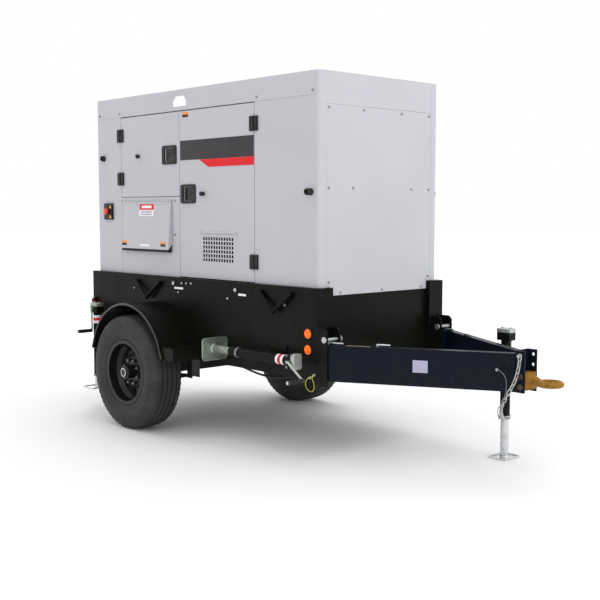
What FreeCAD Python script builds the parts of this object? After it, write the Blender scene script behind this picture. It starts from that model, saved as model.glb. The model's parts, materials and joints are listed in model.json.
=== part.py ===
"""Towable diesel generator: a sound-attenuated canopy on a single-axle trailer base.

Frame: millimetres, +X the towing direction, +Z up, origin on the ground at the middle of the
overall length and width. Every driving dimension is a cell of the Sizes sheet, and each
sub-part's sizes and place are expressions of those cells.
"""

import FreeCAD, Part
import math
import os

import Sketcher
from FreeCAD import Placement, Rotation, Vector

doc = FreeCAD.newDocument("TowableGenerator")
CLEAR = 0.3           # mm left between separate pieces that seat or slide on each other

# ---------------------------------------------------------------- driving dimensions (mm)

DIMENSIONS = {
    # canopy
    "canopy_length": 2403, "canopy_width": 1066, "canopy_top": 2310, "canopy_bottom": 1040,
    "wall_gauge": 3, "fascia_height": 140, "roof_drop": 132, "wrap_width": 62, "wrap_radius": 24,
    "service_panel_drop": 50, "service_panel_top": 190, "door_gap": 4, "door_depth": 28,
    "lift_slot_width": 150, "lift_slot_height": 68,
    # doors on the right side, measured back from the canopy front
    "main_door_front": 580, "door_split": 1372, "control_door_rear": 2090,
    "control_door_sill": 1591, "door_head": 2165,
    "hinge_height": 92, "hinge_width": 74, "hinge_reach": 12, "latch_width": 124, "latch_height": 116,
    # base
    "base_width": 1142, "base_bottom": 495, "base_front_ledge": 30, "base_rear_ledge": 44,
    "plate_gauge": 6, "flange_width": 80, "post_width": 132,
    "tank_length": 1900, "tank_height": 230, "tank_gauge": 4,
    # axle, wheels and fenders
    "axle_setback": 1575, "tyre_radius": 391, "tyre_width": 235, "track": 1523, "rim_radius": 203,
    "rim_lip": 222, "axle_beam_size": 76, "spring_spacing": 1010, "spring_half_length": 330,
    "fender_radius": 440, "fender_rise": 30, "fender_outer": 852, "fender_gauge": 4,
    # drawbar and coupler
    "beam_top": 718, "beam_height": 213, "beam_width": 51, "beam_wall": 6, "beam_root": 137,
    "beam_root_half": 560, "beam_tip": 1060, "beam_tip_half": 60, "ear_gauge": 10, "ear_spacing": 101,
    "ear_reach": 112, "ear_top": 810, "drawbar_pin_radius": 11, "drawbar_pin_rise": 27,
    "channel_flange": 62, "channel_height": 232, "channel_gauge": 10,
    "eye_bore": 38, "eye_bar": 34, "eye_reach": 179, "eye_height": 567,
    # jacks
    "jack_tube_radius": 30, "jack_leg_radius": 25, "jack_wall": 3, "jack_fit": 0.6, "jack_foot_length": 204,
    "jack_foot_width": 148, "jack_foot_gauge": 6, "jack_head_width": 90, "jack_head_height": 66,
    "crank_arm": 165, "crank_grip": 120, "crank_rod_radius": 7,
    # generator set
    "rail_height": 60, "engine_length": 760, "engine_width": 420, "engine_height": 520,
    "alternator_radius": 230, "alternator_length": 520, "fan_radius": 215, "radiator_height": 640,
    "radiator_width": 620, "radiator_depth": 80,
    "lamp_radius": 32, "lamp_depth": 12,
}

sheet = doc.addObject("Spreadsheet::Sheet", "Sizes")
for row, (alias, number) in enumerate(DIMENSIONS.items(), start=1):
    sheet.set(f"A{row}", alias.replace("_", " "))
    sheet.set(f"B{row}", str(number))
    sheet.setAlias(f"B{row}", alias)
doc.recompute()


class Size:
    """A length: the expression that binds it to the sheet, and its present value in mm."""

    def __init__(self, text, value):
        self.text, self.value = text, float(value)

    def __add__(self, other):
        other = as_size(other)
        return Size(f"({self.text} + {other.text})", self.value + other.value)

    def __sub__(self, other):
        other = as_size(other)
        return Size(f"({self.text} - {other.text})", self.value - other.value)

    def __mul__(self, factor):
        factor = as_size(factor)
        return Size(f"({self.text} * {factor.text})", self.value * factor.value)

    def __truediv__(self, divisor):
        divisor = as_size(divisor)
        return Size(f"({self.text} / {divisor.text})", self.value / divisor.value)

    def __neg__(self):
        return Size(f"(0 - {self.text})", -self.value)

    __radd__ = __add__
    __rmul__ = __mul__

    def __rsub__(self, other):
        return as_size(other) - self


def as_size(number):
    return number if isinstance(number, Size) else Size(f"{float(number):.6f}", number)


class Sheet:
    """The driving dimensions by name, as Size objects."""

    def __getattr__(self, name):
        return Size(f"Sizes.{name}", sheet.get(name))


S = Sheet()

# ---------------------------------------------------------------- drawing helpers

AXIS_TURN = {
    "X": Rotation(Vector(0, 1, 0), 90),
    "Y": Rotation(Vector(1, 0, 0), -90),
    "Z": Rotation(),
}
nodes = []


def node(item, label):
    """Names a finished sub-part; its label is also the name of its file."""
    item.Label = label
    nodes.append(item)
    return item


def bind(item, values):
    for name, value in values.items():
        item.setExpression(name, as_size(value).text)


def place(item, x, y, z):
    bind(item, {"Placement.Base.x": x, "Placement.Base.y": y, "Placement.Base.z": z})
    return item


def box(x, y, z):
    """A box from its (low, high) pair along each axis."""
    item = doc.addObject("Part::Box", "Box")
    spans = [(as_size(low), as_size(high)) for low, high in (x, y, z)]
    for name, (low, high) in zip(("Length", "Width", "Height"), spans):
        bind(item, {name: high - low})
    return place(item, *(low for low, high in spans))


def rod(axis, start, radius, length, turn=None):
    """A cylinder from its start point along an axis letter, or along Z turned by a Rotation."""
    item = doc.addObject("Part::Cylinder", "Rod")
    item.Placement = Placement(Vector(), turn or AXIS_TURN[axis])
    bind(item, {"Radius": radius, "Height": length})
    return place(item, *start)


def fuse(*parts):
    item = doc.addObject("Part::MultiFuse", "Fusion")
    item.Shapes = list(parts)
    return item


def group(*parts):
    """Separate solids kept side by side as one sub-part."""
    item = doc.addObject("Part::Compound", "Group")
    item.Links = list(parts)
    return item


def cut(base, *tools):
    item = doc.addObject("Part::Cut", "Cut")
    item.Base = base
    item.Tool = tools[0] if len(tools) == 1 else group(*tools)
    return item


def mirror(item):
    """A copy mirrored to the other side of the centre plane."""
    copy = doc.addObject("Part::Mirroring", "Mirror")
    copy.Source = item
    copy.Normal = Vector(0, 1, 0)
    return copy


def body_with(label, plane, outline, circles=()):
    """A Body with one sketch on an origin plane; every corner and hole is held by the sheet."""
    body = doc.addObject("PartDesign::Body", "Body")
    sketch = body.newObject("Sketcher::SketchObject", "Outline")
    origin = next(item for item in body.Origin.OriginFeatures if item.Role == plane)
    sketch.AttachmentSupport = [(origin, "")]
    sketch.MapMode = "FlatFace"
    corners = [(as_size(u), as_size(v)) for u, v in outline]
    for (u0, v0), (u1, v1) in zip(corners, corners[1:] + corners[:1]):
        ends = Vector(u0.value, v0.value, 0), Vector(u1.value, v1.value, 0)
        sketch.addGeometry(Part.LineSegment(*ends), False)
    for side in range(len(corners)):
        sketch.addConstraint(Sketcher.Constraint("Coincident", side, 2, (side + 1) % len(corners), 1))
    for side, (u, v) in enumerate(corners):
        hold_point(sketch, side, 1, u, v)
    for u, v, radius in circles:
        u, v, radius = as_size(u), as_size(v), as_size(radius)
        ring = sketch.addGeometry(Part.Circle(Vector(u.value, v.value, 0), Vector(0, 0, 1), radius.value))
        hold_point(sketch, ring, 3, u, v)
        index = sketch.addConstraint(Sketcher.Constraint("Radius", ring, radius.value))
        sketch.setExpression(f"Constraints[{index}]", radius.text)
    if label:
        node(body, label)
    return body, sketch


def hold_point(sketch, item, point, u, v):
    for kind, value in (("DistanceX", u), ("DistanceY", v)):
        index = sketch.addConstraint(Sketcher.Constraint(kind, -1, 1, item, point, value.value))
        sketch.setExpression(f"Constraints[{index}]", value.text)


def pad(label, plane, outline, depth, circles=(), reverse=False):
    """A sketched plate or prism; it grows along the plane's own normal."""
    body, sketch = body_with(label, plane, outline, circles)
    feature = body.newObject("PartDesign::Pad", "Pad")
    feature.Profile = sketch
    feature.Reversed = reverse
    bind(feature, {"Length": depth})
    return body


def revolve(label, outline, plane="XY_Plane", angle=360):
    """A solid turned about its body's Y axis, from an outline of (radius, height) points."""
    body, sketch = body_with(label, plane, outline)
    feature = body.newObject("PartDesign::Revolution", "Revolution")
    feature.Profile = sketch
    feature.ReferenceAxis = (sketch, ["V_Axis"])
    feature.Angle = angle
    return body


# ---------------------------------------------------------------- shared positions

half_width = S.canopy_width / 2
half_base = S.base_width / 2
tow_reach = S.beam_tip + S.channel_gauge + S.eye_reach + S.eye_bore + S.eye_bar
front = (S.canopy_length + S.base_rear_ledge + S.lamp_depth - tow_reach) / 2
canopy_rear = front - S.canopy_length
base_front = front + S.base_front_ledge
base_rear = canopy_rear - S.base_rear_ledge
axle_x = front - S.axle_setback
wheel_y = S.track / 2
fascia_bottom = S.canopy_top - S.fascia_height
roof_level = S.canopy_top - S.roof_drop
service_half = half_width - S.wrap_width

# ---------------------------------------------------------------- trailer base


def across(side, far, near):
    """The (low, high) pair along Y of a span lying between two distances from the centre plane."""
    return (-as_size(far), -as_size(near)) if side < 0 else (as_size(near), as_size(far))


def side_plate(label, side):
    """A channel-section side sill with the box post that closes its front end."""
    outer = half_base * side
    web, lip = (half_base - S.plate_gauge) * side, (half_base - S.flange_width) * side
    low, high = S.base_bottom, S.canopy_bottom
    section = [(outer, low), (outer, high), (lip, high), (lip, high - S.plate_gauge),
               (web, high - S.plate_gauge), (web, low + S.plate_gauge), (lip, low + S.plate_gauge),
               (lip, low)]
    channel = pad(None, "YZ_Plane", section, base_front - base_rear - S.plate_gauge)
    bind(channel, {"Placement.Base.x": base_rear + S.plate_gauge})
    inner = half_base - S.post_width
    face = box((base_front - S.plate_gauge, base_front), across(side, half_base, inner), (low, high))
    back = box((front - S.wall_gauge, base_front), across(side, inner + S.plate_gauge, inner), (low, high))
    return node(fuse(channel, face, back), label)


RIGHT, LEFT = -1, 1
side_plate("side_plate_right", RIGHT)
side_plate("side_plate_left", LEFT)

cross_half = half_base - S.flange_width
front_panel = box((front - S.wall_gauge - S.plate_gauge, front - S.wall_gauge), (-cross_half, cross_half),
                  (S.base_bottom, S.canopy_bottom))
rear_panel = fuse(
    box((base_rear, base_rear + S.plate_gauge), (-half_base, half_base), (S.base_bottom, S.canopy_bottom)),
    box((base_rear, canopy_rear + S.wall_gauge), (-cross_half, cross_half),
        (S.canopy_bottom - S.plate_gauge, S.canopy_bottom)))

TANK_SIDE_GAP, TANK_SETBACK, TANK_TOP_GAP = 5, 230, 8
tank_half = half_base - S.plate_gauge - TANK_SIDE_GAP
tank_rear = canopy_rear + TANK_SETBACK
tank_floor = S.base_bottom + S.plate_gauge
tank_shell = cut(
    box((tank_rear, tank_rear + S.tank_length), (-tank_half, tank_half),
        (tank_floor, tank_floor + S.tank_height)),
    box((tank_rear + S.tank_gauge, tank_rear + S.tank_length - S.tank_gauge),
        (S.tank_gauge - tank_half, tank_half - S.tank_gauge),
        (tank_floor + S.tank_gauge, tank_floor + S.tank_height - S.tank_gauge)))
hose_y, hose_z, hose_ends, OUTLET_HALF = half_base - 121, S.base_bottom - 11, (-930, -200), 15
hose_outlets = [box((front + low, front + low + 40), (-hose_y - OUTLET_HALF, -hose_y + OUTLET_HALF),
                    (hose_z - OUTLET_HALF, tank_floor)) for low in (hose_ends[0] - 40, hose_ends[1])]
node(fuse(tank_shell, *hose_outlets), "fuel_tank")

rail_floor = tank_floor + S.tank_height + TANK_TOP_GAP
rail_top = rail_floor + S.rail_height
rail_half = half_base - S.plate_gauge
RAIL_OUTER, RAIL_INNER, MEMBER = 290, 230, 60
member_places = [canopy_rear + 90, front - 1360, front - 250]
members = [box((at, at + MEMBER), (-rail_half, rail_half), (rail_floor, rail_top)) for at in member_places]
rails = [box((rear + MEMBER, ahead), across(side, RAIL_OUTER, RAIL_INNER), (rail_floor, rail_top))
         for rear, ahead in zip(member_places, member_places[1:]) for side in (RIGHT, LEFT)]
node(group(front_panel, rear_panel, *rails, *members), "base_cross_members")

fender_z = S.tyre_radius + S.fender_rise
FENDER_START = 13     # degrees above the horizontal where each end of the fender stops


def fender(label, side):
    low, high = across(side, S.fender_outer, half_base)
    turn = AXIS_TURN["Y"] * Rotation(Vector(0, 0, 1), FENDER_START - 180)
    sweep = 180 - 2 * FENDER_START
    shell = rod("Y", (axle_x, low, fender_z), S.fender_radius, high - low, turn)
    shell.Angle = sweep
    hollow = rod("Y", (axle_x, low, fender_z), S.fender_radius - S.fender_gauge, high - low)
    bead = doc.addObject("Part::Torus", "Bead")
    bead.Angle3 = sweep
    bead.Placement = Placement(Vector(), turn)
    bind(bead, {"Radius1": S.fender_radius - S.fender_gauge, "Radius2": S.fender_gauge * 2})
    place(bead, axle_x, S.fender_outer * side, fender_z)
    return node(fuse(cut(shell, hollow), bead), label)


def fender_step(side):
    """The box step that carries the front end of a fender out from the side sill."""
    rear = axle_x + S.fender_radius - 20
    y = across(side, S.fender_outer - S.fender_gauge * 2, half_base)
    step = box((rear, rear + 120), y, (fender_z + 96, fender_z + 182))
    return cut(step, rod("Y", (axle_x, y[0], fender_z), S.fender_radius + CLEAR, y[1] - y[0]))


fender("fender_right", RIGHT)
fender("fender_left", LEFT)


def tie_bar(at, side):
    """A V-shaped tie-down bar: two round arms meeting at a rounded knee below the sill's edge."""
    radius, spread, rise, stand = 13, 150, 118, 31
    y = (half_base + stand) * side
    z = S.canopy_bottom - 40 - rise
    arms = []
    for along in (-1, 1):
        direction = Vector(along * spread, -side * (stand - radius), rise)
        arms.append(rod("Z", (at, y, z), radius, direction.Length, Rotation(Vector(0, 0, 1), direction)))
    ball = doc.addObject("Part::Sphere", "Knee")
    bind(ball, {"Radius": radius})
    place(ball, at, y, z)
    keep = box((at - 2 * spread, at + 2 * spread), across(side, half_base + 100, half_base),
               (z - 50, z + 200))
    item = doc.addObject("Part::MultiCommon", "Trimmed")
    item.Shapes = [fuse(*arms, ball), keep]
    return item


tie_bars = [tie_bar(front - back, side) for back in (1690, 330) for side in (RIGHT, LEFT)]


def sill_disc(x, side, z, radius, depth):
    """A round fitting that stands out from the sill's face by its depth."""
    return rod("Y", (x, across(side, half_base + depth, half_base)[0], z), radius, depth)


node(group(*[sill_disc(front - 45, side, z, S.lamp_radius, S.lamp_depth)
             for side in (RIGHT, LEFT) for z in (770, 675)]), "side_lights")
node(group(*[rod("X", (base_rear - S.lamp_depth, side * (half_base - 130), S.canopy_bottom - 160), 50,
                 S.lamp_depth)
             for side in (RIGHT, LEFT)],
           *[sill_disc(base_rear + 28, side, 815, 24, S.lamp_depth) for side in (RIGHT, LEFT)]),
           "tail_lights")

# ---------------------------------------------------------------- axle and suspension

beam_half = S.axle_beam_size / 2
spindle_inner = wheel_y - 110
hub_face = wheel_y + 60
SPINDLE = 22
axle_bar = box((axle_x - beam_half, axle_x + beam_half), (-spindle_inner, spindle_inner),
               (S.tyre_radius - beam_half, S.tyre_radius + beam_half))
spindles = rod("Y", (axle_x, -hub_face, S.tyre_radius), SPINDLE, hub_face * 2)
node(fuse(axle_bar, spindles), "axle_beam")

spring_y = S.spring_spacing / 2
axle_floor = S.tyre_radius - beam_half
LEAF, LEAF_HALF_WIDTH, LEAF_RISE, LEAF_SEAT, LEAF_STEP = 10, 30, 22, 60, 90


def leaf(order, side):
    """One leaf of a spring, a shallow V that hangs under the axle."""
    half = S.spring_half_length - order * LEAF_STEP
    top = axle_floor - order * LEAF
    rise = (half - LEAF_SEAT) * LEAF_RISE / (S.spring_half_length - LEAF_SEAT)
    outline = [(-half, top + rise), (-LEAF_SEAT, top), (LEAF_SEAT, top), (half, top + rise),
               (half, top + rise - LEAF), (LEAF_SEAT, top - LEAF), (-LEAF_SEAT, top - LEAF),
               (-half, top + rise - LEAF)]
    strip = pad(None, "XZ_Plane", outline, 2 * LEAF_HALF_WIDTH)
    bind(strip, {"Placement.Base.x": axle_x, "Placement.Base.y": spring_y * side + LEAF_HALF_WIDTH})
    return strip


leaf_packs = [fuse(*[leaf(order, side) for order in range(3)]) for side in (RIGHT, LEFT)]


HANGER_BACK, HANGER_HALF, HANGER_CHEEK = 25, 28, 4


def hanger(along, side):
    """The forked block under the sill that holds one end of a spring."""
    at, middle = axle_x + (S.spring_half_length - HANGER_BACK) * along, spring_y * side
    top = axle_floor + LEAF_RISE
    width = LEAF_HALF_WIDTH + HANGER_CHEEK
    block = box((at - HANGER_HALF, at + HANGER_HALF), (middle - width, middle + width),
                (top - 22, S.base_bottom))
    slot_half = LEAF_HALF_WIDTH + CLEAR
    slot = box((at - HANGER_HALF - 2, at + HANGER_HALF + 2), (middle - slot_half, middle + slot_half),
               (top - 23, top + 1))
    return cut(block, slot)


def clamp_plate(side):
    low = axle_floor - 3 * LEAF
    return box((axle_x - LEAF_SEAT, axle_x + LEAF_SEAT), (spring_y * side - 45, spring_y * side + 45),
               (low - LEAF, low))


node(group(*leaf_packs, *[hanger(along, side) for along in (-1, 1) for side in (RIGHT, LEFT)],
           clamp_plate(RIGHT), clamp_plate(LEFT)), "leaf_springs")

# ---------------------------------------------------------------- drawbar and coupler

slope_text = (S.beam_root_half - S.beam_tip_half) / (S.beam_tip - S.beam_root)
beam_across = S.beam_width * Size(f"sqrt(1 + {slope_text.text}^2)", math.sqrt(1 + slope_text.value ** 2))
beam_low = S.beam_top - S.beam_height


def beam_face(along, inset=0):
    """How far the beam's outer face stands from the centre plane, `along` mm ahead of the front."""
    return S.beam_root_half - inset - slope_text * (as_size(along) - S.beam_root)


def drawbar_beam(label, side):
    wall = beam_across * (S.beam_wall / S.beam_width)
    start, stop = S.beam_root, S.beam_tip
    outside = [(front + start, beam_face(start) * side), (front + stop, beam_face(stop) * side),
               (front + stop, beam_face(stop, beam_across) * side),
               (front + start, beam_face(start, beam_across) * side)]
    near, far = start + S.beam_wall, stop - S.beam_wall
    inside = [(front + near, beam_face(near, wall) * side), (front + far, beam_face(far, wall) * side),
              (front + far, beam_face(far, beam_across - wall) * side),
              (front + near, beam_face(near, beam_across - wall) * side)]
    shell = pad(None, "XY_Plane", outside, S.beam_height)
    bind(shell, {"Placement.Base.z": beam_low})
    hollow = pad(None, "XY_Plane", inside, S.beam_height - 2 * S.beam_wall)
    bind(hollow, {"Placement.Base.z": beam_low + S.beam_wall})
    ear_inner = half_base - S.ear_gauge - CLEAR
    root = box((base_front + 8, front + S.beam_root),
               across(side, ear_inner, half_base - S.ear_spacing + CLEAR),
               (beam_low, S.beam_top))
    return node(fuse(cut(shell, hollow), root), label)


drawbar_beam("drawbar_beam_right", RIGHT)
drawbar_beam("drawbar_beam_left", LEFT)

pin_x = base_front + 62
pin_z = S.beam_top + S.drawbar_pin_rise


def ear(side, far, low):
    """One cheek of a drawbar bracket, with its upper corner cut off and a hole for the pin."""
    reach, corner = S.ear_reach - S.base_front_ledge, 22
    outline = [(0, low), (reach, low), (reach, S.ear_top - corner), (reach - corner, S.ear_top),
               (0, S.ear_top)]
    plate = pad(None, "XZ_Plane", outline, S.ear_gauge)
    y = across(side, far, far - S.ear_gauge)
    bind(plate, {"Placement.Base.x": base_front, "Placement.Base.y": y[1]})
    return cut(plate, rod("Y", (pin_x, y[0] - 5, pin_z), S.drawbar_pin_radius + CLEAR, S.ear_gauge + 10))


inner_ear = half_base - S.ear_spacing
ears = [ear(side, far, low) for far, low in ((half_base, S.base_bottom - 25), (inner_ear, S.base_bottom))
        for side in (RIGHT, LEFT)]

channel_x = front + S.beam_tip
channel_low = beam_low
FLANGE_HOLE, HOLE_PITCH = 10, 57
flange_holes = [S.eye_height - HOLE_PITCH / 2 + HOLE_PITCH * number for number in range(4)]
hole_x = channel_x + S.channel_flange - 22
channel_half = S.beam_tip_half
channel_section = [
    (0, -channel_half), (S.channel_flange, -channel_half), (S.channel_flange, S.channel_gauge - channel_half),
    (S.channel_gauge, S.channel_gauge - channel_half), (S.channel_gauge, channel_half - S.channel_gauge),
    (S.channel_flange, channel_half - S.channel_gauge), (S.channel_flange, channel_half), (0, channel_half)]
channel = pad(None, "XY_Plane", channel_section, S.channel_height)
bind(channel, {"Placement.Base.x": channel_x, "Placement.Base.z": channel_low})
node(cut(channel, *[rod("Y", (hole_x, -channel_half - 5, z), FLANGE_HOLE, channel_half * 2 + 10)
                    for z in flange_holes]), "coupler_channel")

eye_x = channel_x + S.channel_gauge + S.eye_reach
ring_radius = S.eye_bore + S.eye_bar / 2
eye_half = channel_half - S.channel_gauge - CLEAR
ring = doc.addObject("Part::Torus", "Ring")
bind(ring, {"Radius1": ring_radius, "Radius2": S.eye_bar / 2})
place(ring, eye_x, 0, S.eye_height)
liner = rod("Z", (eye_x, 0, S.eye_height - 10), ring_radius, 20)
root_block = box((channel_x + S.channel_gauge + CLEAR, channel_x + S.channel_flange), (-eye_half, eye_half),
                 (S.eye_height - 48, S.eye_height + 48))
neck = doc.addObject("Part::Cone", "Neck")
neck.Placement = Placement(Vector(), AXIS_TURN["X"])
bind(neck, {"Radius1": 46, "Radius2": S.eye_bar / 2,
            "Height": S.eye_reach - S.eye_bore - S.eye_bar + 12 - S.channel_flange + S.channel_gauge})
place(neck, channel_x + S.channel_flange, 0, S.eye_height)
shank = rod("X", (channel_x + S.channel_flange, 0, S.eye_height), S.eye_bar / 2,
            eye_x - channel_x - S.channel_flange - S.eye_bore - S.eye_bar / 2)
node(cut(fuse(root_block, neck, shank, ring, liner),
         rod("Z", (eye_x, 0, S.eye_height - 60), S.eye_bore, 120),
         *[rod("Y", (hole_x, -eye_half - 5, z), FLANGE_HOLE, eye_half * 2 + 10) for z in flange_holes[:2]]),
     "tow_eye")


def through_bolt(x, y_low, y_high, z, radius, head):
    """A bolt along Y with a head and a nut outside the span that it holds."""
    y_low, y_high = as_size(y_low), as_size(y_high)
    return fuse(rod("Y", (x, y_low, z), radius, y_high - y_low),
                rod("Y", (x, y_low - head, z), radius * 1.7, head),
                rod("Y", (x, y_high, z), radius * 1.7, head))


sill_studs = [(front - 20, S.base_bottom + 17, 9), (front + 12, S.base_bottom + 35, 9),
              (front - 250, 927, 8), (front - 800, 932, 8),
              (front - 1878, 941, 6), (front - 1339, 940, 7), (front - 1397, 999, 13),
              (front - 1300, 1003, 7),
              (front - 1247, 1005, 7), (front - 1194, 1008, 7), (front - 724, 991, 13)]
face_way = Vector(slope_text.value, -1, 0).normalize()
cable_stud_x, CABLE_STUD, CABLE_STUD_LENGTH = 976, 8, 11
cable_stud = rod("Z", (front + cable_stud_x + CLEAR * face_way.x,
                       CLEAR * face_way.y - beam_face(cable_stud_x), 626),
                 CABLE_STUD, CABLE_STUD_LENGTH, Rotation(Vector(0, 0, 1), face_way))
node(group(
    cable_stud, *[through_bolt(hole_x, -channel_half, channel_half, z, FLANGE_HOLE - CLEAR, 9)
                  for z in flange_holes[:2]],
    *[through_bolt(pin_x, y[0], y[1], pin_z, S.drawbar_pin_radius, 7)
      for y in (across(side, half_base, inner_ear - S.ear_gauge - 12) for side in (RIGHT, LEFT))],
    *[rod("Y", (x, across(side, half_base + 9, half_base)[0], z), radius, 9)
      for x, z, radius in sill_studs for side in (RIGHT, LEFT)]), "pins_and_bolts")

# ---------------------------------------------------------------- canopy

skin = half_width - S.wall_gauge
post_outer = half_width - S.door_depth - 2
post_inner = post_outer - 30
door_rear, door_split = front - S.control_door_rear, front - S.door_split
door_front = front - S.main_door_front
gap = S.door_gap / 2
header = (S.door_head - 25, roof_level - S.wall_gauge)


def canopy_side(label, side, opening_rear):
    """The fixed wall strips beside the doors, with the inner header and posts behind them."""
    wall, inner = across(side, half_width, skin), across(side, post_outer, post_inner)
    strips = [box(x, wall, (S.canopy_bottom, fascia_bottom))
              for x in ((canopy_rear + S.wall_gauge, opening_rear - gap),
                        (door_front + gap, front - S.wrap_radius))]
    posts = [box((at - 20, at + 20), inner, (S.canopy_bottom, header[0]))
             for at in (door_rear - 24, door_split, door_front + 24)]
    beam = box((canopy_rear + S.wall_gauge, front - S.wall_gauge), inner, header)
    return node(group(*strips, *posts, beam), label)


canopy_side("canopy_side_right", RIGHT, door_rear)
canopy_side("canopy_side_left", LEFT, door_split)


def corner_wrap(side):
    """A rounded corner of the front wall and the flat edge that it turns into."""
    turn = Rotation(Vector(0, 0, 1), -90 if side < 0 else 0)
    start = (front - S.wrap_radius, (half_width - S.wrap_radius) * side, S.canopy_bottom)
    height = S.canopy_top - S.canopy_bottom
    bend = rod("Z", start, S.wrap_radius, height, turn)
    bend.Angle = 90
    flat = box((front - S.wall_gauge, front), across(side, half_width - S.wrap_radius, service_half),
               (S.canopy_bottom, S.canopy_top))
    return fuse(cut(bend, rod("Z", start, S.wrap_radius - S.wall_gauge, height)), flat)


band_low = S.canopy_top - S.service_panel_top
node(group(corner_wrap(RIGHT), corner_wrap(LEFT),
           box((front - S.wall_gauge, front), (-service_half, service_half), (band_low, S.canopy_top))),
     "canopy_front_wall")

tongue_half = half_base - S.post_width - 1
seam = 1
panel_low = S.canopy_bottom - S.service_panel_drop
panel_outline = [(-service_half + seam, S.canopy_bottom + seam), (-tongue_half, S.canopy_bottom + seam),
                 (-tongue_half, panel_low), (tongue_half, panel_low), (tongue_half, S.canopy_bottom + seam),
                 (service_half - seam, S.canopy_bottom + seam), (service_half - seam, band_low - seam),
                 (-service_half + seam, band_low - seam)]
service_panel = pad("front_service_panel", "YZ_Plane", panel_outline, S.wall_gauge)
bind(service_panel, {"Placement.Base.x": front - S.wall_gauge})

LOUVRES, LOUVRE_PITCH, LOUVRE_HEIGHT = 12, 55, 22
rear_wall = box((canopy_rear, canopy_rear + S.wall_gauge), (-half_width, half_width),
                (S.canopy_bottom, S.canopy_top))
louvres = [box((canopy_rear - 1, canopy_rear + S.wall_gauge + 1), (-service_half + 120, service_half - 120),
               (1290 + number * LOUVRE_PITCH, 1290 + number * LOUVRE_PITCH + LOUVRE_HEIGHT))
           for number in range(LOUVRES)]
node(cut(rear_wall, *louvres), "canopy_rear_wall")

exhaust_x, exhaust_y = front - 700, 175
radiator_rear = front - 430
roof = box((canopy_rear + S.wall_gauge, front - S.wall_gauge), (-skin, skin),
           (roof_level - S.wall_gauge, roof_level))
air_slots = [box((front - 400 + number * 60, front - 370 + number * 60), (-300, 300),
                 (roof_level - 10, roof_level + 10)) for number in range(5)]
roof_corners = [box((front - S.wrap_radius, front), across(side, half_width, half_width - S.wrap_radius),
                    (roof_level - 10, roof_level + 10)) for side in (RIGHT, LEFT)]
node(cut(roof, *air_slots, *roof_corners, rod("Z", (exhaust_x, exhaust_y, roof_level - 20), 42, 40)),
     "roof_panel")


SCREW, SCREW_HEAD, FASCIA_PROUD = 7, 4, 2


def fascia(side):
    """The long top edge of the canopy, with the slot that a lifting strap passes through."""
    y = across(side, half_width + FASCIA_PROUD, skin)
    half, rise, corner = S.lift_slot_width / 2, S.lift_slot_height, 30
    low = roof_level + 20
    outline = [(-half, low), (half, low), (half, low + rise - corner), (half - corner, low + rise),
               (corner - half, low + rise), (-half, low + rise - corner)]
    slot = pad(None, "XZ_Plane", outline, 40)
    bind(slot, {"Placement.Base.x": front - 1363, "Placement.Base.y": y[0] + 25})
    strip = box((canopy_rear + S.wall_gauge, front - S.wrap_radius), y, (fascia_bottom, S.canopy_top))
    return cut(strip, slot)


node(group(fascia(RIGHT), fascia(LEFT)), "roof_fascias")

front_screws = [(y, z) for z, places in ((band_low - 22, (-450, -153, 186, 450)),
                                         (1630, (-450, -245, 283, 450)),
                                         (1070, (-450, 450)), (1005, (-351, 16, 385))) for y in places]
panel_screws = [rod("X", (front, y, z), SCREW, SCREW_HEAD) for y, z in front_screws]
for side in (RIGHT, LEFT):
    head_low = across(side, half_width + FASCIA_PROUD + SCREW_HEAD, half_width + FASCIA_PROUD)[0]
    panel_screws += [rod("Y", (front - back, head_low, fascia_bottom + 25), SCREW, SCREW_HEAD)
                     for back in (2364, 2103, 553, 47)]
panel_screws += [rod("Y", (front - back, -half_width - SCREW_HEAD, z), SCREW, SCREW_HEAD)
                 for back in (2075, 1428) for z in (1563, 1330)]
node(group(*panel_screws), "panel_screws")

# ---------------------------------------------------------------- doors, hinges and latches

hinge_out = half_width + S.hinge_reach
KNUCKLE, HINGE_PIN, PIN_FIT = 7, 4, 0.05


def hinge_halves(x, side, z, leaf_to):
    """The fixed half with its pin, and the door half with its sleeve; leaf_to is -1 or 1 along X."""
    y = across(side, hinge_out, half_width)
    half, mid = S.hinge_height / 2, as_size(z)
    reach = S.hinge_width / 2

    def leaf_block(toward, z_span):
        ends = (x + KNUCKLE + 1, x + reach) if toward > 0 else (x - reach, x - KNUCKLE - 1)
        full = box(ends, y, (mid - half, mid + half))
        bridge = box((x, x + KNUCKLE + 1) if toward > 0 else (x - KNUCKLE - 1, x), y, z_span)
        return full, bridge

    low_span, high_span = (mid - half, mid - CLEAR), (mid + CLEAR, mid + half)
    fixed_leaf, fixed_bridge = leaf_block(-leaf_to, low_span)
    axis_y = hinge_out * side
    fixed = fuse(fixed_leaf, fixed_bridge, rod("Z", (x, axis_y, low_span[0]), KNUCKLE, half - CLEAR),
                 rod("Z", (x, axis_y, low_span[0]), HINGE_PIN, half * 2 - 2))
    door_leaf, door_bridge = leaf_block(leaf_to, high_span)
    moving = cut(fuse(door_leaf, door_bridge, rod("Z", (x, axis_y, high_span[0]), KNUCKLE, half - CLEAR)),
                 rod("Z", (x, axis_y, high_span[0] - 1), HINGE_PIN + PIN_FIT, half + 2))
    return fixed, moving


PADDLE_FIT, PADDLE_PIN, PADDLE_DEEP = 0.4, 3, 7
DISH_DEEP, DISH_WALL, SKIN_RIM = 24, 3, 12


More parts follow.
